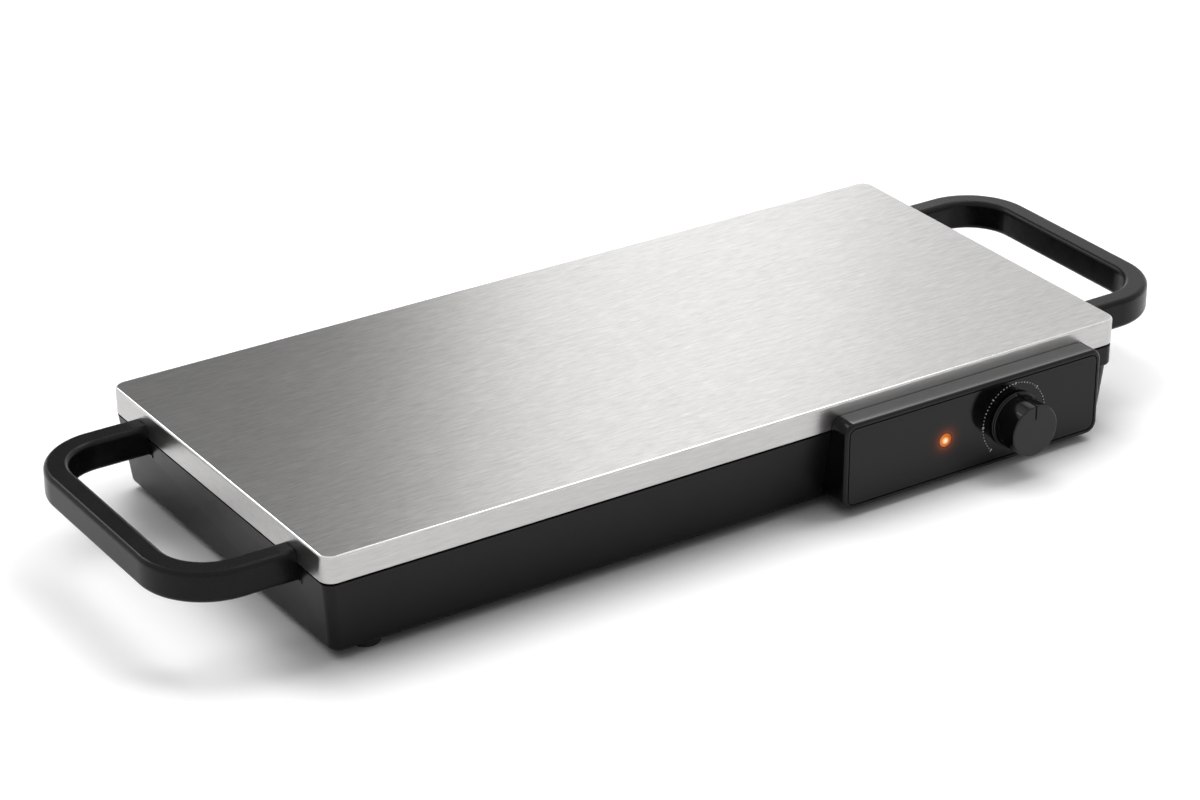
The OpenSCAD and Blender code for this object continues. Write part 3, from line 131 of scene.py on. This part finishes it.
class Finish:
    """One finish of the warmer: a material and the nodes that make it."""

    def __init__(self, name, tree=None):
        if tree is None:
            self.material = bpy.data.materials.new(name)
            self.material.use_nodes = True
            tree = self.material.node_tree
        self.tree = tree
        tree.nodes.clear()

    def node(self, kind, settings=None, sockets=None, out=0):
        """Adds a node with its settings and its sockets' values or links, and gives one output."""
        made = self.tree.nodes.new(kind)
        for key, value in (settings or {}).items():
            setattr(made, key, value)
        for key, value in (sockets or {}).items():
            if isinstance(value, Wire):
                self.tree.links.new(value.socket, made.inputs[key])
            else:
                made.inputs[key].default_value = value
        return Wire(self, made.outputs[out]) if made.outputs else None

    def place(self, scale=(1, 1, 1), location=(0, 0, 0)):
        """Object coordinates, shifted and stretched for one pattern."""
        spot = self.node("ShaderNodeTexCoord", out="Object")
        return self.node("ShaderNodeMapping", {"vector_type": "POINT"},
                         {"Vector": spot, "Location": location, "Scale": scale})

    def length(self, where):
        """Distance of a place from where its pattern is centred."""
        return self.node("ShaderNodeVectorMath", {"operation": "LENGTH"}, {0: where}, out="Value")

    def grain(self, where, lumps, detail, rough):
        """Noise from 0 to 1 with so many lumps to the metre."""
        return self.node("ShaderNodeTexNoise", {"noise_dimensions": "3D"},
                         {"Vector": where, "Scale": lumps, "Detail": detail, "Roughness": rough})

    def between(self, share, a, b):
        """Colour a share of the way from a to b."""
        share_socket, first_colour, second_colour, mixed_colour = 0, 6, 7, 2
        return self.node("ShaderNodeMix", {"data_type": "RGBA", "clamp_factor": True},
                         {share_socket: share,
                          first_colour: (*a, 1) if isinstance(a, tuple) else a,
                          second_colour: (*b, 1) if isinstance(b, tuple) else b}, out=mixed_colour)

    def coordinate(self, axis):
        """Place along one axis in metres."""
        spot = self.node("ShaderNodeTexCoord", out="Object")
        return self.node("ShaderNodeSeparateXYZ", {}, {0: spot}, out=axis)

    def relief(self, height, depth):
        """Normal with a relief of that depth in metres."""
        return self.node("ShaderNodeBump", {}, {"Height": height, "Distance": depth})

    def shade(self, **sockets):
        """Joins the finish's shader to its output."""
        named = {key.replace("_", " "): value for key, value in sockets.items()}
        for key in ("Base Color", "Emission Color"):
            if isinstance(named.get(key), tuple):
                named[key] = (*named[key], 1)
        skin = self.node("ShaderNodeBsdfPrincipled", {}, named)
        self.node("ShaderNodeOutputMaterial", {}, {"Surface": skin})
        return self.material


def seen_or_mirrored(finish):
    """1 where the camera sees a surface by itself, in a mirror or through glass."""
    path = finish.node("ShaderNodeLightPath", out="Is Camera Ray")
    mirrored = Wire(finish, path.socket.node.outputs["Is Glossy Ray"])
    through = Wire(finish, path.socket.node.outputs["Is Transmission Ray"])
    return (path + mirrored + through).at_most(1.0)


def stage_sheet(name, size, place, facing, material):
    """A flat sheet of the studio, standing at a place and facing along a direction."""
    bm = bmesh.new()
    bmesh.ops.create_grid(bm, x_segments=1, y_segments=1, size=0.5)
    bmesh.ops.scale(bm, vec=(*size, 1), verts=bm.verts)
    bmesh.ops.rotate(bm, cent=(0, 0, 0), verts=bm.verts,
                     matrix=Vector(facing).to_track_quat("Z", "Y").to_matrix())
    bmesh.ops.translate(bm, vec=place, verts=bm.verts)
    mesh = bpy.data.meshes.new(name)
    bm.to_mesh(mesh)
    bm.free()
    mesh.materials.append(material)
    sheet = bpy.data.objects.new(name, mesh)
    scene.collection.objects.link(sheet)
    return sheet


table_size = (18, 18)
table_white = 0.93
near_glow = 0.14
wide_glow = 0.26
far_glow = 0.55
paper = Finish("studio_paper")
plain = paper.node("ShaderNodeBsdfDiffuse", {}, {"Color": (table_white, table_white, table_white, 1)})
low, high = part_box("base_tub")
middle, half = (low + high) / 2, (high - low) / 2
aside = paper.node("ShaderNodeVectorMath", {"operation": "ABSOLUTE"},
                   {0: paper.place(location=(-middle.x, -middle.y, 0), scale=(1, 1, 0))})
outside = paper.node("ShaderNodeVectorMath", {"operation": "SUBTRACT"},
                     {0: aside, 1: (half.x, half.y, 0)})
around = paper.node("ShaderNodeVectorMath", {"operation": "MAXIMUM"}, {0: outside, 1: (0, 0, 0)})
from_base = paper.length(around)
# Painted light on the table: its glow is nil beside the base, leaving a painted shadow there, and rises
# in rings further out.
near_ring = from_base.rising(start=0.003, length=0.03)
wide_ring = from_base.rising(start=0.03, length=0.5)
far_ring = from_base.rising(start=0.9, length=2.0)
painted_glow = near_ring * near_glow + wide_ring * wide_glow + far_ring * far_glow
glow = paper.node("ShaderNodeEmission", {}, {"Strength": seen_or_mirrored(paper) * painted_glow})
both = paper.node("ShaderNodeAddShader", {}, {0: plain, 1: glow})
paper.node("ShaderNodeOutputMaterial", {}, {"Surface": both})
stage_sheet("studio_table", size=table_size, place=(0, 0, 0), facing=(0, 0, 1), material=paper.material)

room_dim = 0.28
room_level = 0.2
room_slope = 1.2
room = bpy.data.worlds.new("studio_room")
room.use_nodes = True
scene.world = room
air = Finish("studio_room", room.node_tree)
towards = air.node("ShaderNodeTexCoord", out="Generated")
upward = air.node("ShaderNodeSeparateXYZ", {}, {0: towards}, out="Z")
from_above = (upward * room_slope + room_level).at_least(0.0) * room_dim
in_sight = seen_or_mirrored(air)
sky = air.node("ShaderNodeBackground", {}, {
    "Color": (1, 1, 1, 1), "Strength": in_sight + (1 - in_sight) * from_above})
air.node("ShaderNodeOutputWorld", {}, {"Surface": sky})


lamp_aim = Vector((0.05, 0.0, 0.0))


def soft_lamp(name, place, size, watts):
    """A rectangular lamp that lights the set, but that no glossy surface mirrors."""
    lamp = bpy.data.lights.new(name, "AREA")
    lamp.shape = "RECTANGLE"
    lamp.size, lamp.size_y = size
    lamp.energy = watts
    holder = bpy.data.objects.new(name, lamp)
    holder.location = place
    holder.rotation_euler = (lamp_aim - Vector(place)).to_track_quat("-Z", "Y").to_euler()
    holder.visible_glossy = False
    scene.collection.objects.link(holder)


soft_lamp("strip_lamp", place=(0.6, 0.40, 2.1), size=(2.4, 0.8), watts=27)
soft_lamp("wide_lamp", place=(0.1, 0.55, 2.1), size=(4.4, 2.2), watts=38)


def mirrored_card(name, turn, away, size, brightness, foot=0.0):
    """An upright card that faces the warmer from a distance and shows only as a reflection in it."""
    skin = Finish(name)
    light = skin.node("ShaderNodeEmission", {}, {"Strength": brightness})
    skin.node("ShaderNodeOutputMaterial", {}, {"Surface": light})
    back = Vector((cos(radians(turn)), sin(radians(turn)), 0))
    centre = away * back + Vector((0, 0, foot + size[1] / 2))
    sheet = stage_sheet(name, size, centre, -back, skin.material)
    sheet.visible_camera = False
    sheet.visible_diffuse = False
    sheet.visible_shadow = False
    sheet.visible_transmission = False


mirrored_card("dark_card", turn=77.8, away=1.75, size=(0.95, 2.2), brightness=0.23)
mirrored_card("bright_card", turn=54.9, away=1.9, size=(0.44, 1.7), brightness=1.75)
mirrored_card("edge_card", turn=108, away=1.9, size=(0.6, 0.85), brightness=6.0, foot=1.2)
mirrored_card("brow_card", turn=15, away=1.15, size=(1.3, 0.8), brightness=4.5, foot=1.65)


# Warming plate
# Stainless sheet, 0.8 mm thick, pressed into a shallow lid with drawn corners and a
# tight rolled edge, then brushed along its length. It rests on the base's rim.
crease_angle = 30.0


def finished(bm, name, material, node, body="warmer"):
    """Makes a piece from a bmesh, gives it its finish and puts it in the place of a node."""
    for face in bm.faces:
        face.smooth = True
    mesh = bpy.data.meshes.new(name)
    bm.to_mesh(mesh)
    bm.free()
    mesh.set_sharp_from_angle(angle=radians(crease_angle))
    mesh.materials.append(material)
    piece = bpy.data.objects.new(name, mesh)
    scene.collection.objects.link(piece)
    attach(piece, body)
    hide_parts(node)
    return piece


def even_shading(piece):
    """Keeps flat faces flat to the eye beside rounded edges."""
    piece.modifiers.new("even_shading", "WEIGHTED_NORMAL").keep_sharp = True


sheet_t = 0.0008
drawn_corner_r = 0.007
rolled_edge_r = 0.0014
cut_edge_w = 0.00012
nearly_square = 0.9
touching = 1e-6
low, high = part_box("warming_plate")
bm = bmesh.new()
bmesh.ops.create_cube(bm, size=1)
bmesh.ops.scale(bm, vec=high - low, verts=bm.verts)
bmesh.ops.translate(bm, vec=(high + low) / 2, verts=bm.verts)
upright = [e for e in bm.edges if abs((e.verts[0].co - e.verts[1].co).z) > sheet_t]
bmesh.ops.bevel(bm, geom=upright, offset=drawn_corner_r, offset_type="OFFSET", segments=14, profile=0.5,
                affect="EDGES", material=-1)
downward = [f for f in bm.faces if f.normal.z < -nearly_square]
bmesh.ops.delete(bm, geom=downward, context="FACES_ONLY")
brow = [e for e in bm.edges if all(v.co.z > high.z - touching for v in e.verts)]
bmesh.ops.bevel(bm, geom=brow, offset=rolled_edge_r, offset_type="OFFSET", segments=6, profile=0.5,
                affect="EDGES", material=-1)

# The plate and its skirt are laid out flat, in metres, so that the strokes run level along every
# wall. On the end walls they are half as long.
end_stretch = 2
unrolled = bm.loops.layers.uv.new("sheet")
for face in bm.faces:
    out = face.normal
    for loop in face.loops:
        at = loop.vert.co
        drop = high.z - at.z
        if out.z > nearly_square:
            loop[unrolled].uv = (at.x, at.y)
        elif abs(out.y) >= abs(out.x):
            loop[unrolled].uv = (at.x, high.y + drop if out.y > 0 else low.y - drop)
        else:
            loop[unrolled].uv = (end_stretch * at.y, high.x + drop if out.x > 0 else low.x - drop)

steel = Finish("brushed_steel")
on_sheet = steel.node("ShaderNodeUVMap", {"uv_map": "sheet"})


def strokes(across, along, detail):
    """Brush strokes of one width: so many to the metre over the sheet and along it."""
    where = steel.node("ShaderNodeMapping", {}, {"Vector": on_sheet, "Scale": (along, across, 1)})
    return steel.grain(where, lumps=1.0, detail=detail, rough=0.6)


fine = strokes(across=2900, along=170, detail=2)
broad = strokes(across=1100, along=92, detail=3)
wide = strokes(across=420, along=44, detail=2)
clouds = strokes(across=20, along=14, detail=3)
brushing = fine * 0.35 + broad * 0.4 + wide * 0.25

# The tone runs from dull to keen with the strokes, which are calmer on the skirt, and painted shade
# makes the skirt darker. The rolled edge carries a painted highlight in a lighter colour and is
# smoother.
steel_dull = (0.27, 0.267, 0.262)
steel_keen = (0.745, 0.738, 0.728)
steel_highlight = (0.78, 0.775, 0.765)
stroke_contrast = 1.5
skirt_calm = 0.8
skirt_painted_shade = 0.07
cloud_contrast = 0.10
satin_rough = 0.29
stroke_unevenness = 0.07
edge_highlight_share = 0.7
edge_highlight_polish = 0.15
stroke_depth = 0.000001
below_top = high.z - steel.coordinate("Z")
on_skirt = below_top.rising(start=0.001, length=0.0005)
edge_highlight = below_top.rising(start=0.0, length=0.00005) * below_top.falling(end=0.0007, length=0.00025)
stroke_tone = (brushing - 0.5) * (stroke_contrast - on_skirt * skirt_calm)
steel_share = stroke_tone + (clouds - 0.5) * cloud_contrast + 0.5 - on_skirt * skirt_painted_shade
steel_tone = steel.between(steel_share, steel_dull, steel_keen)
steel.shade(Base_Color=steel.between(edge_highlight * edge_highlight_share, steel_tone, steel_highlight), Metallic=1.0,
            Roughness=satin_rough + (brushing - 0.5) * stroke_unevenness - edge_highlight * edge_highlight_polish,
            Normal=steel.relief(wide, depth=stroke_depth))
plate = finished(bm, "steel_plate", steel.material, "warming_plate")
wall = plate.modifiers.new("sheet", "SOLIDIFY")
wall.thickness = sheet_t
wall.offset = -1
hem = plate.modifiers.new("hem", "BEVEL")
hem.width = cut_edge_w
hem.segments = 1
hem.limit_method = "ANGLE"
hem.angle_limit = radians(60)
even_shading(plate)


# Moulded base
# The base is one deep tray of black heat-resistant plastic with a satin, finely grained
# skin. Its front and left walls lean in towards the table, and it holds everything inside.
def copy_of(node):
    """The CAD solid's surface with its triangles joined into whole faces."""
    bm = bmesh.new()
    bm.from_mesh(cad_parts[node].data)
    bmesh.ops.remove_doubles(bm, verts=bm.verts, dist=2e-6)
    bmesh.ops.dissolve_degenerate(bm, edges=bm.edges, dist=1e-6)
    bmesh.ops.dissolve_limit(bm, angle_limit=radians(0.6), use_dissolve_boundaries=False,
                             verts=bm.verts, edges=bm.edges)
    return bm


def moulded(name, tone, dull, gloss_level, pit=0.00001, lumps=2600, lacquer=None, painted_shade=None):
    """Satin moulded plastic: a faint even grain, slow shifts in sheen and a few dusty marks."""
    dust_start = 0.66
    dust_gain = 2.2
    light_gain = 1.35
    light_lift = 0.004
    shade_black = (0.0003, 0.0003, 0.0003)
    skin = Finish(name)
    here = skin.place()
    pits = skin.grain(here, lumps, detail=2, rough=0.55)
    cast = skin.grain(here, lumps=38, detail=3, rough=0.5)
    dust = (skin.grain(here, lumps=420, detail=4, rough=0.7) - dust_start).at_least(0.0) * dust_gain
    light = tuple(min(1.0, c * light_gain + light_lift) for c in tone)
    share = (cast - 0.5) * 0.9 + 0.35 + dust * 0.4
    colour = skin.between(share, tone, light)
    rough = dull + (cast - 0.5) * 0.10 + (pits - 0.5) * 0.08 + dust * 0.1
    coat = {"Coat_Weight": lacquer(skin), "Coat_Roughness": 0.14, "Coat_IOR": 2.0} if lacquer else {}
    # Painted shade: where its mask lies, the colour goes black and the surface fully rough.
    if painted_shade:
        shade_cover = painted_shade(skin)
        rough = rough.at_least(shade_cover)
        colour = skin.between(shade_cover, colour, shade_black)
    return skin.shade(Base_Color=colour, Roughness=rough, Specular_IOR_Level=gloss_level,
                      Normal=skin.relief(pits, depth=pit), **coat)


shoulder_height = 0.0468
dark_below_shoulder = 0.0003


def groove_painted_shade(finish):
    """1 on the shoulder and the rim, where painted shade stands for the dark that the skirt keeps there.
    """
    return finish.coordinate("Z").rising(start=shoulder_height - dark_below_shoulder, length=0.0001)


# The shoulder and rim under the skirt are painted black as shade.
base_skin = moulded("base_plastic", (0.0026, 0.0026, 0.0028), dull=0.32, gloss_level=0.19,
                    painted_shade=groove_painted_shade)
base = finished(copy_of("base_tub"), "moulded_base", base_skin, "base_tub")
even_shading(base)


# Feet
# Four tapered rubber feet, each screwed into a boss of the base through its own recess.
# The moulded edge is rounded, and the rubber has a greyish bloom and fine scuffs.
def eased(piece, width):
    """Rounds a moulded piece's sharp edges."""
    ease = piece.modifiers.new("eased_edges", "BEVEL")
    ease.width = width
    ease.segments = 2
    ease.limit_method = "ANGLE"
    ease.angle_limit = radians(40)
    ease.miter_outer = "MITER_ARC"
    ease.use_clamp_overlap = True
    even_shading(piece)


rubber_dark = (0.012, 0.012, 0.012)
rubber_grey = (0.034, 0.033, 0.032)
rubber = Finish("foot_rubber")
bloom = rubber.grain(rubber.place(), lumps=900, detail=4, rough=0.65)
scuffs = rubber.grain(rubber.place(scale=(1, 1, 6)), lumps=160, detail=3, rough=0.6)
rubber.shade(Base_Color=rubber.between(bloom * 0.6 + scuffs * 0.4, rubber_dark, rubber_grey),
             Roughness=0.72 + (scuffs - 0.5) * 0.2, Specular_IOR_Level=0.3,
             Normal=rubber.relief(bloom, depth=0.00003))
feet = finished(copy_of("rubber_feet"), "feet", rubber.material, "rubber_feet")
eased(feet, width=0.0004)

# Handles
# Two loop handles of black plastic with a rounded bar, each bolted through the base's end
# wall into brass inserts. Their skin is smoother than the base's.
handle_skin = moulded("handle_plastic", (0.0026, 0.0026, 0.0028), dull=0.27, gloss_level=0.16,
                      pit=0.000005, lumps=3200)
for side in ("left", "right"):
    node = f"{side}_handle"
    handle = finished(copy_of(node), f"{side}_loop_handle", handle_skin, node)
    even_shading(handle)

# Control housing
# A shallow black box moulded in the base's plastic, screwed to the front wall from inside.
# A rounded edge and a narrow frame run round its face.
low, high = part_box("control_housing")
gloss_depth = 0.00015
gloss_from = high.z - gloss_depth


def top_gloss(finish):
    """1 on the housing's flat top, which shines more than its sides."""
    return finish.coordinate("Z").rising(start=gloss_from, length=0.0001)


housing_skin = moulded("housing_plastic", (0.0018, 0.0018, 0.002), dull=0.25, gloss_level=0.22,
                       pit=0.000004, lumps=3200, lacquer=top_gloss)
housing = finished(copy_of("control_housing"), "pod_housing", housing_skin,
                   "control_housing")
eased(housing, width=0.00018)

# Fascia
# A flat satin panel pressed into the frame. The lit pilot lamp's small orange glow is painted on
# it, and a ring of painted shade lies round the lens.
low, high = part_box("lamp_lens")
lamp_x, lamp_z = (low.x + high.x) / 2, (low.z + high.z) / 2
lens_r_mm = (high.x - low.x) / 2 * 1000
ring_shade_w_mm = 0.5
ring_shade_edge_mm = 1 / 6
glow_halves_mm = 1.26
panel_dark = (0.0024, 0.0025, 0.0025)
panel_light = (0.0042, 0.0043, 0.0044)
ring_shade_black = (0.001, 0.0006, 0.0004)
no_light = (0.0, 0.0, 0.0)
lamp_light = (1.0, 0.16, 0.02)
panel = Finish("fascia_plastic")
ring_mm = panel.length(panel.place(location=(-lamp_x, 0, -lamp_z), scale=(1, 0, 1))) * 1000.0
# Painted light and shade round the lens: an orange glow that halves every 1.26 mm, and a dark ring next
# to the lens where the glow stops.
halo = panel.between(0.5 ** ((ring_mm - lens_r_mm) / glow_halves_mm), no_light, lamp_light)
lens_ring_shade = ring_mm.falling(end=lens_r_mm + ring_shade_w_mm, length=ring_shade_edge_mm)
here = panel.place()
pits = panel.grain(here, lumps=3600, detail=2, rough=0.5)
cast = panel.grain(here, lumps=30, detail=2, rough=0.5)
panel_tone = panel.between((cast - 0.5) * 0.6 + 0.4, panel_dark, panel_light)
panel.shade(Base_Color=panel.between(lens_ring_shade, panel_tone, ring_shade_black),
            Roughness=0.10 + (cast - 0.5) * 0.05, Specular_IOR_Level=0.23,
            Emission_Color=panel.between(lens_ring_shade, halo, no_light), Emission_Strength=0.17,
            Normal=panel.relief(pits, depth=0.000004))
fascia = finished(copy_of("fascia"), "fascia_panel", panel.material, "fascia")
eased(fascia, width=0.00015)


# Dial print
# Pad-printed scale in pale grey ink, a little uneven, on the fascia round the knob: dots with
# longer marks at the ends, the middle and the quarters.
def dress(material, *nodes):
    """Gives CAD nodes that stay as they are their finish."""
    for node in nodes:
        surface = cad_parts[node].data.materials
        surface.clear()
        surface.append(material)


ink_grey = (0.36, 0.36, 0.36)
ink_pale = (0.66, 0.66, 0.65)
ink = Finish("dial_ink")
wear = ink.grain(ink.place(), lumps=1500, detail=3, rough=0.6)
ink.shade(Base_Color=ink.between(wear, ink_grey, ink_pale), Roughness=0.5 + (wear - 0.5) * 0.2)
dress(ink.material, "dial_marks")

# Pilot lamp
# A domed clear orange lens with a neon lamp behind it. The core shows yellow white, off the
# middle, and the rim of the dome glows a brighter orange.
core_left = 0.0008
core_up = 0.0002
core_r_mm = 2.25
spread_r_mm = 4.4
rim_r_mm = 3.45
rim_keenness = 6.0
lens_deep = (0.30, 0.035, 0.002)
lens_orange = (1.0, 0.32, 0.03)
rim_orange = (0.85, 0.24, 0.05)
core_white = (1.0, 0.97, 0.66)
unlit_orange = (0.05, 0.008, 0.002)
glass = Finish("lit_lens")
from_core = glass.place(location=(core_left - lamp_x, 0, -core_up - lamp_z), scale=(1, 0, 1))
core_mm = glass.length(from_core) * 1000.0
rim_mm = glass.length(glass.place(location=(-lamp_x, 0, -lamp_z), scale=(1, 0, 1))) * 1000.0
core = (1.0 - core_mm / core_r_mm).at_least(0.0) ** 0.95
spread = (1.0 - core_mm / spread_r_mm).at_least(0.0)
off_rim = rim_mm - rim_r_mm
rim = (1.0 - off_rim * off_rim * rim_keenness).at_least(0.0)
facets = glass.grain(glass.place(), lumps=1400, detail=1, rough=0.4)
body_glow = glass.between(spread + (facets - 0.5) * 0.2, lens_deep, lens_orange)
rim_glow = glass.between(rim * (spread * 0.9 + 0.25), body_glow, rim_orange)
glass.shade(Base_Color=unlit_orange, Roughness=0.12 + facets * 0.05, Specular_IOR_Level=0.12,
            Emission_Color=glass.between(core, rim_glow, core_white), Emission_Strength=1.0,
            Normal=glass.relief(facets, depth=0.00002))
lamp = finished(copy_of("lamp_lens"), "pilot_lens", glass.material, "lamp_lens")
even_shading(lamp)

# Knob
# A turned-looking black knob moulded in one piece: thin flange, a step, a nearly straight
# side and a flat face with a pointer groove from the face down the side.
low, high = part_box("knob")
pointer_half_w = 0.0005
pointer_inner_r = 0.0068
pointer_end_gap = 0.0026
shade_edge = 0.00005
pointer_x = (low.x + high.x) / 2
pointer_foot = (low.z + high.z) / 2 + pointer_inner_r
pointer_back = high.y - pointer_end_gap


def pointer_painted_shade(finish):
    """1 inside the pointer groove, which is painted dull black as shade."""
    across = (finish.coordinate("X") - pointer_x).without_sign()
    inside = across.falling(pointer_half_w, shade_edge)
    above = finish.coordinate("Z").rising(pointer_foot, shade_edge)
    before = finish.coordinate("Y").falling(pointer_back, shade_edge)
    return inside.at_most(above).at_most(before)


# The pointer groove is darkened with painted shade.
knob_skin = moulded("knob_plastic", (0.0018, 0.0018, 0.002), dull=0.12, gloss_level=0.30,
                    pit=0.000004, lumps=3600, painted_shade=pointer_painted_shade)
knob = finished(copy_of("knob"), "dial_knob", knob_skin, "knob", body="knob")
eased(knob, width=0.00022)

# Power inlet
# The appliance inlet is a black moulding with a flange outside the back wall, screwed to
# nuts inside, with three brass blades in its socket.
inlet_skin = moulded("inlet_plastic", (0.005, 0.005, 0.0052), dull=0.42, gloss_level=0.3,
                     pit=0.000008, lumps=2400)
inlet = finished(copy_of("power_inlet"), "inlet_socket", inlet_skin, "power_inlet")
eased(inlet, width=0.0003)


# Plated and plain metal inside
# Screws, straps, sheets, clips and the thermostat's frame are zinc plated steel. The plating
# has a fine frosted grain and a slow bluish to yellowish shift.
def metal(name, tone, other, dull, lumps=500, stretch=(1, 1, 1), pit=0.00001):
    """Bare metal with a frosted or drawn grain that shifts slowly from one tone to another."""
    skin = Finish(name)
    frost = skin.grain(skin.place(scale=stretch), lumps, detail=4, rough=0.6)
    shift = skin.grain(skin.place(), lumps=26, detail=2, rough=0.5)
    share = (frost - 0.5) * 0.7 + (shift - 0.5) * 1.1 + 0.5
    return skin.shade(Base_Color=skin.between(share, tone, other), Metallic=1.0,
                      Roughness=dull + (frost - 0.5) * 0.25, Normal=skin.relief(frost, depth=pit))


zinc = metal("zinc_plate", (0.52, 0.54, 0.58), (0.70, 0.68, 0.60), dull=0.34)
dress(zinc, "plate_bushes", "clamp_studs", "clamp_plate", "spacer_tubes", "heat_shield", "clamp_washers",
      "clamp_nuts", "base_screws", "foot_screws", "left_strap", "right_strap", "handle_washers",
      "handle_screws", "housing_screws", "lamp_retainer", "thermostat_frame", "bush_nut",
      "thermostat_spindle", "knob_spring", "bulb_clip", "fuse_clip", "block_screws", "inlet_screws",
      "inlet_nuts", "element_tabs", "heating_ribbon")
aluminium = metal("mill_aluminium", (0.68, 0.69, 0.70), (0.84, 0.84, 0.84), dull=0.38, lumps=60,
                  stretch=(0.3, 22, 22))
dress(aluminium, "heat_spreader")
brass = metal("plain_brass", (0.62, 0.46, 0.19), (0.80, 0.64, 0.33), dull=0.3)
dress(brass, "handle_inserts", "thermostat_tabs", "inlet_pins")
copper = metal("drawn_copper", (0.62, 0.32, 0.20), (0.80, 0.47, 0.31), dull=0.28)
dress(copper, "capillary_tube", "sensing_bulb")


# Heater's insulation
# Bonded mica sheets hold the ribbon, mineral wool keeps the heat from the base, and the
# lamp, thermostat, fuse and terminal block have ceramic bodies.
def mineral(name, tone, other, lumps, dull, pit, stretch=(1, 1, 1)):
    """Flaky or fibrous mineral: fine flakes of two tones that gather in larger patches."""
    flakes_to_a_patch = 12
    skin = Finish(name)
    flakes = skin.grain(skin.place(scale=stretch), lumps, detail=5, rough=0.65)
    patches = skin.grain(skin.place(), lumps / flakes_to_a_patch, detail=2, rough=0.5)
    return skin.shade(Base_Color=skin.between(flakes * 0.7 + patches * 0.3, tone, other),
                      Roughness=dull + (flakes - 0.5) * 0.2, Normal=skin.relief(flakes, depth=pit))


mica = mineral("bonded_mica", (0.42, 0.33, 0.18), (0.74, 0.66, 0.46), lumps=320, dull=0.35, pit=0.00004)
dress(mica, "upper_mica", "lower_mica")
wool = mineral("mineral_wool", (0.62, 0.60, 0.52), (0.90, 0.88, 0.82), lumps=420, dull=0.9, pit=0.0006,
               stretch=(1, 1, 3))
dress(wool, "insulation_blanket")
glaze = mineral("glazed_ceramic", (0.76, 0.72, 0.62), (0.90, 0.87, 0.79), lumps=220, dull=0.28,
                pit=0.00001)
dress(glaze, "lamp_body", "thermostat_body", "thermal_fuse", "terminal_block")


# Leads
# Silicone-sleeved leads run between fixed terminals inside the base. Each colour has the
# faint powdery sheen of silicone.
def sleeve(name, tone):
    """Silicone in one colour under a pale powder."""
    dusted_share = 0.7
    dusted_lift = 0.12
    skin = Finish(name)
    powder = skin.grain(skin.place(), lumps=800, detail=3, rough=0.6)
    light = tuple(c * dusted_share + dusted_lift for c in tone)
    return skin.shade(Base_Color=skin.between(powder * 0.5, tone, light),
                      Roughness=0.45 + (powder - 0.5) * 0.2, Normal=skin.relief(powder, depth=0.00001))


lead_tones = {
    "live_lead": (0.22, 0.09, 0.035),
    "neutral_lead": (0.04, 0.10, 0.42),
    "element_lead": (0.04, 0.10, 0.42),
    "load_lead": (0.42, 0.045, 0.03),
    "lamp_leads": (0.62, 0.62, 0.60),
    "earth_lead": (0.07, 0.30, 0.05)}
for lead, tone in lead_tones.items():
    dress(sleeve(f"{lead}_sleeve", tone), lead)
